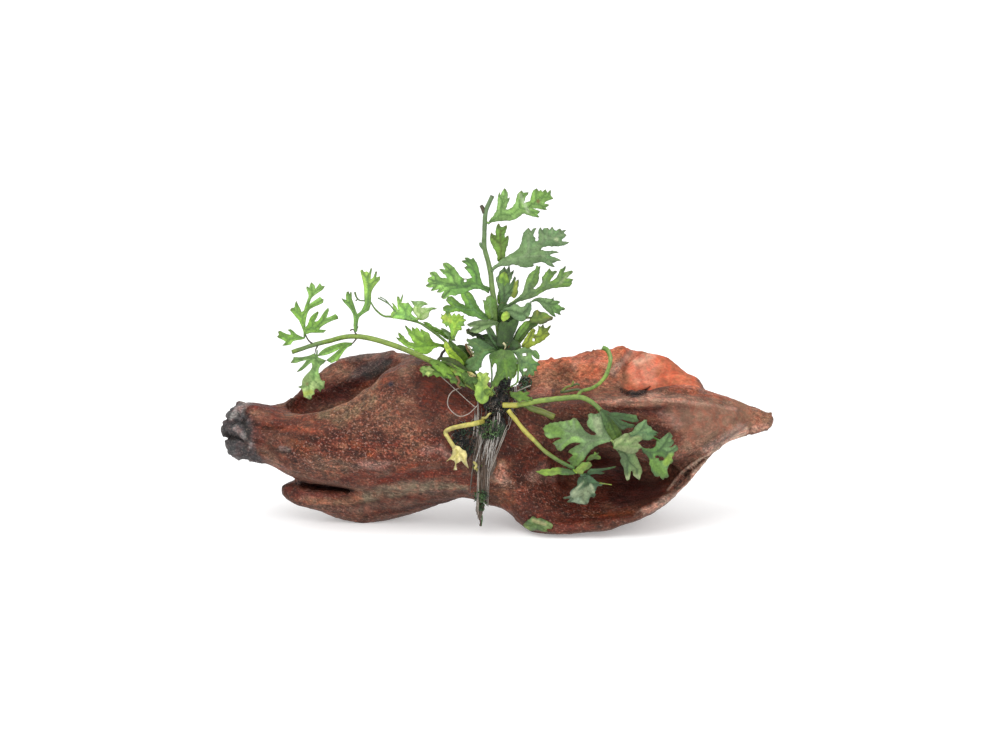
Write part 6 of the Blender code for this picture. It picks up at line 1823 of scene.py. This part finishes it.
def make_mat(material):
    """The dark root mat with ropes in its surface, from the crown down the front."""
    mat = copy_of(("crown", "root_bundle"), "root_mat")
    top = [drawn(*place) for place in places_in(CROWN_TOP)]
    join(mat, wires("crown_top", [(top, CROWN_RADII)], 10))
    apply(mat, "REMESH", mode="VOXEL", voxel_size=MAT_VOXEL)
    apply(mat, "SMOOTH", iterations=6)
    places, normals = places_of(mat), normals_of(mat)
    ropes = noise_at(places, (0.5, 0.8, 5), 41.0)
    rise = 0.35 * ropes + 0.25 * noise_at(places, 0.9, 42.0) - MAT_THINNED
    put_places(mat, places + normals * (rise * MM)[:, None])
    shade_smooth(mat)
    column, row = on_drawing(places)
    colour = np.tile(tone("root_black"), (len(places), 1))
    low = smooth_step((row - 425) / 40)
    lay(colour, "root_brown", low * 0.8)
    lay(colour, "root_grey", smooth_step((ropes - 0.15) / 0.25) * 0.5 * low)
    lay(colour, "moss", brush(column, row, MOSSY_MAT) * 0.6)
    set_tint(mat, colour)
    return finish_piece(mat, material, ("crown", "root_bundle"))


def make_threads(front, material):
    """The root threads, and the mossy root that hangs below them."""
    routes, tones = thread_routes(front)
    tail = drawn_path(TAIL, 5)
    routes.append((tail, [0.42 - 0.012 * i for i in range(len(tail))]))
    tones.append("moss")
    threads = wires("root_threads", routes, 4)
    paint_by_route(threads, routes, tones)
    finish_piece(threads, material)


def make_moss(front, material):
    """Small bowed flakes of moss and root on the mat and the wood beside it."""
    flakes, tones = [], []
    for count, box, lift, names in MOSS:
        for _ in range(count):
            place = front(*in_box(box), DICE.uniform(*lift))
            if place:
                way = Vector((DICE.uniform(-1, 1), DICE.uniform(-0.8, 0.2), DICE.uniform(-1, 1))) * 0.5 * MM
                bow = Vector((DICE.uniform(-1, 1), -0.4, DICE.uniform(-1, 1))) * 0.2 * MM
                radii = [0.08, DICE.uniform(0.16, 0.3), 0.04]
                flakes.append(([place - way, place + bow, place + way], radii))
                tones.append(DICE.choice(names))
    moss = wires("moss", flakes, 4)
    paint_by_route(moss, flakes, tones)
    finish_piece(moss, material)


LINE_RADIUS = 0.14

# Depth and height of the middle of the waist
WAIST_AXIS = (1, 21)

# The line's turns round the waist, as angle and x; angles run from the back through the top, front and base
TURNS = [
    [(150, -5), (185, -5.5), (240, -5.8), (330, -1), (420, 4.6), (470, 4.6), (503, 2.7), (551, -2.8),
     (600, -3), (690, -3.5), (780, -5.4), (870, -5.6)],
    [(150, -4.6), (185, -5.2), (240, -5.5), (330, -0.6), (420, 5), (470, 5), (503, 3.1), (551, -2.4),
     (600, -2.7), (690, -3.2), (780, -5.1), (870, -5.4)],
]

# Its free ends and the bight before the crown, as column, row and depth
LINE_ENDS = [
    "431,367,-9 453,387,-10.5 473,405,-12.6 477,406,-13.6",
    "478,405,-14 468,414,-15.2 458,415.5,-15.8 449,407,-15.4 448.5,398,-14.6 453,391,-13.6 462,387.5,-12.5",
    "517,391,-12.6 524,388,-13.4 531,385,-14",
]


def spoke(degrees):
    """The way out from the waist at an angle of the line's turns."""
    angle = math.radians(degrees)
    return Vector((0, math.cos(angle), math.sin(angle)))


def waist_point(trees, degrees, x, lift):
    """A place a little way out from the surfaces, at an angle round the waist."""
    start = Vector((x, *WAIST_AXIS)) * MM + TO_MIDDLE * MM
    far = 0
    for turn in (-5, 0, 5):
        way = spoke(degrees + turn)
        for tree in trees:
            hit = tree.ray_cast(start + way * 0.06, -way, 0.06)
            if hit[0]:
                far = max(far, (hit[0] - start).length)
    return start + spoke(degrees) * (far + lift * MM)


def make_line(wood, mat, material):
    """The clear line: its turns pulled tight round the wood and the mat, and its free ends."""
    trees = [surface_tree(wood), surface_tree(mat)]
    routes = []
    for number, turns in enumerate(TURNS):
        path = []
        for degrees in range(turns[0][0], turns[-1][0] + 1, 5):
            below, above = next(pair for pair in zip(turns, turns[1:]) if degrees <= pair[1][0])
            x = below[1] + (above[1] - below[1]) * (degrees - below[0]) / (above[0] - below[0])
            path.append(waist_point(trees, degrees, x, 0.16 + 0.1 * number))
        routes.append((path, [LINE_RADIUS] * len(path)))
    for words in LINE_ENDS:
        path = drawn_path(words, 6)
        routes.append((path, [LINE_RADIUS] * len(path)))
    line = wires("clear_line", routes, 8)
    return finish_piece(line, material, ["nylon_line"])


# Stage

FLOOR_SIZE = 6
LIT_PLACE = Vector((0, 0, 0.03))


def light(name, place, power, size):
    """A round soft light that faces the part."""
    lamp = bpy.data.lights.new(name, "AREA")
    lamp.energy = power
    lamp.shape = "DISK"
    lamp.size = size
    obj = add_object(name, lamp)
    obj.location = place
    obj.rotation_euler = (LIT_PLACE - Vector(place)).to_track_quat("-Z", "Y").to_euler()


def make_stage():
    """A wide pale floor, an even white surround and two soft lights."""
    bpy.ops.object.select_all(action="DESELECT")
    bpy.ops.mesh.primitive_plane_add(size=FLOOR_SIZE, location=(0, 0, 0))
    floor = bpy.context.object
    floor.name = "floor"
    made, tree, shader = new_material("pale_floor")
    tones = ramp(tree, grain_at(tree, object_place(tree), 3.0, 2.0), [(0.3, 0.80), (0.7, 0.83)])
    plug_all(tree, shader, Base_Color=tones, Emission_Color=tones, Emission_Strength=0.33, Roughness=0.9)
    floor.data.materials.append(made)
    world = bpy.data.worlds.new("studio")
    world.use_nodes = True
    plug_all(world.node_tree, world.node_tree.nodes["Background"], Color=(1, 1, 1, 1), Strength=1.0)
    bpy.context.scene.world = world
    light("soft_top", (-0.25, -0.35, 0.85), 3.6, 0.8)
    light("soft_front", (0.3, -1.0, 0.5), 3.0, 0.7)


def make_camera():
    """The photograph's view: straight on, 15 degrees above the front, from far enough to be nearly level."""
    lens = bpy.data.cameras.new("camera")
    lens.sensor_width = SENSOR
    lens.lens = DISTANCE / (SQUARE * MM) / PICTURE_WIDTH * SENSOR
    lens.clip_end = 20
    camera = add_object("camera", lens)
    camera.location = drawn(*PICTURE_MIDDLE, 0) - SIGHT * DISTANCE
    camera.rotation_mode = "QUATERNION"
    camera.rotation_quaternion = SIGHT.to_track_quat("-Z", "Y")
    bpy.context.scene.camera = camera
    bpy.context.scene.view_settings.view_transform = "Standard"


make_camera()
make_stage()
driftwood = make_wood()
make_leaves(leaf_material(), driftwood)
stem_paint = painted_material("fern_stem", grain_scale=900.0, contrast=0.22, roughness=0.42, depth=0.00012)
make_stems(stem_paint)
make_twigs(stem_paint)
join_leaves(stem_paint)
root_paint = painted_material("wiry_root", grain_scale=1500.0, contrast=0.4, roughness=0.5, depth=0.0002)
root_mat = make_mat(root_paint)
front = ground_cast([driftwood, root_mat])
make_threads(front, root_paint)
make_moss(front, painted_material("moss", grain_scale=1200.0, contrast=0.35, roughness=0.6, depth=0.0002))
make_line(driftwood, root_mat, nylon_material())
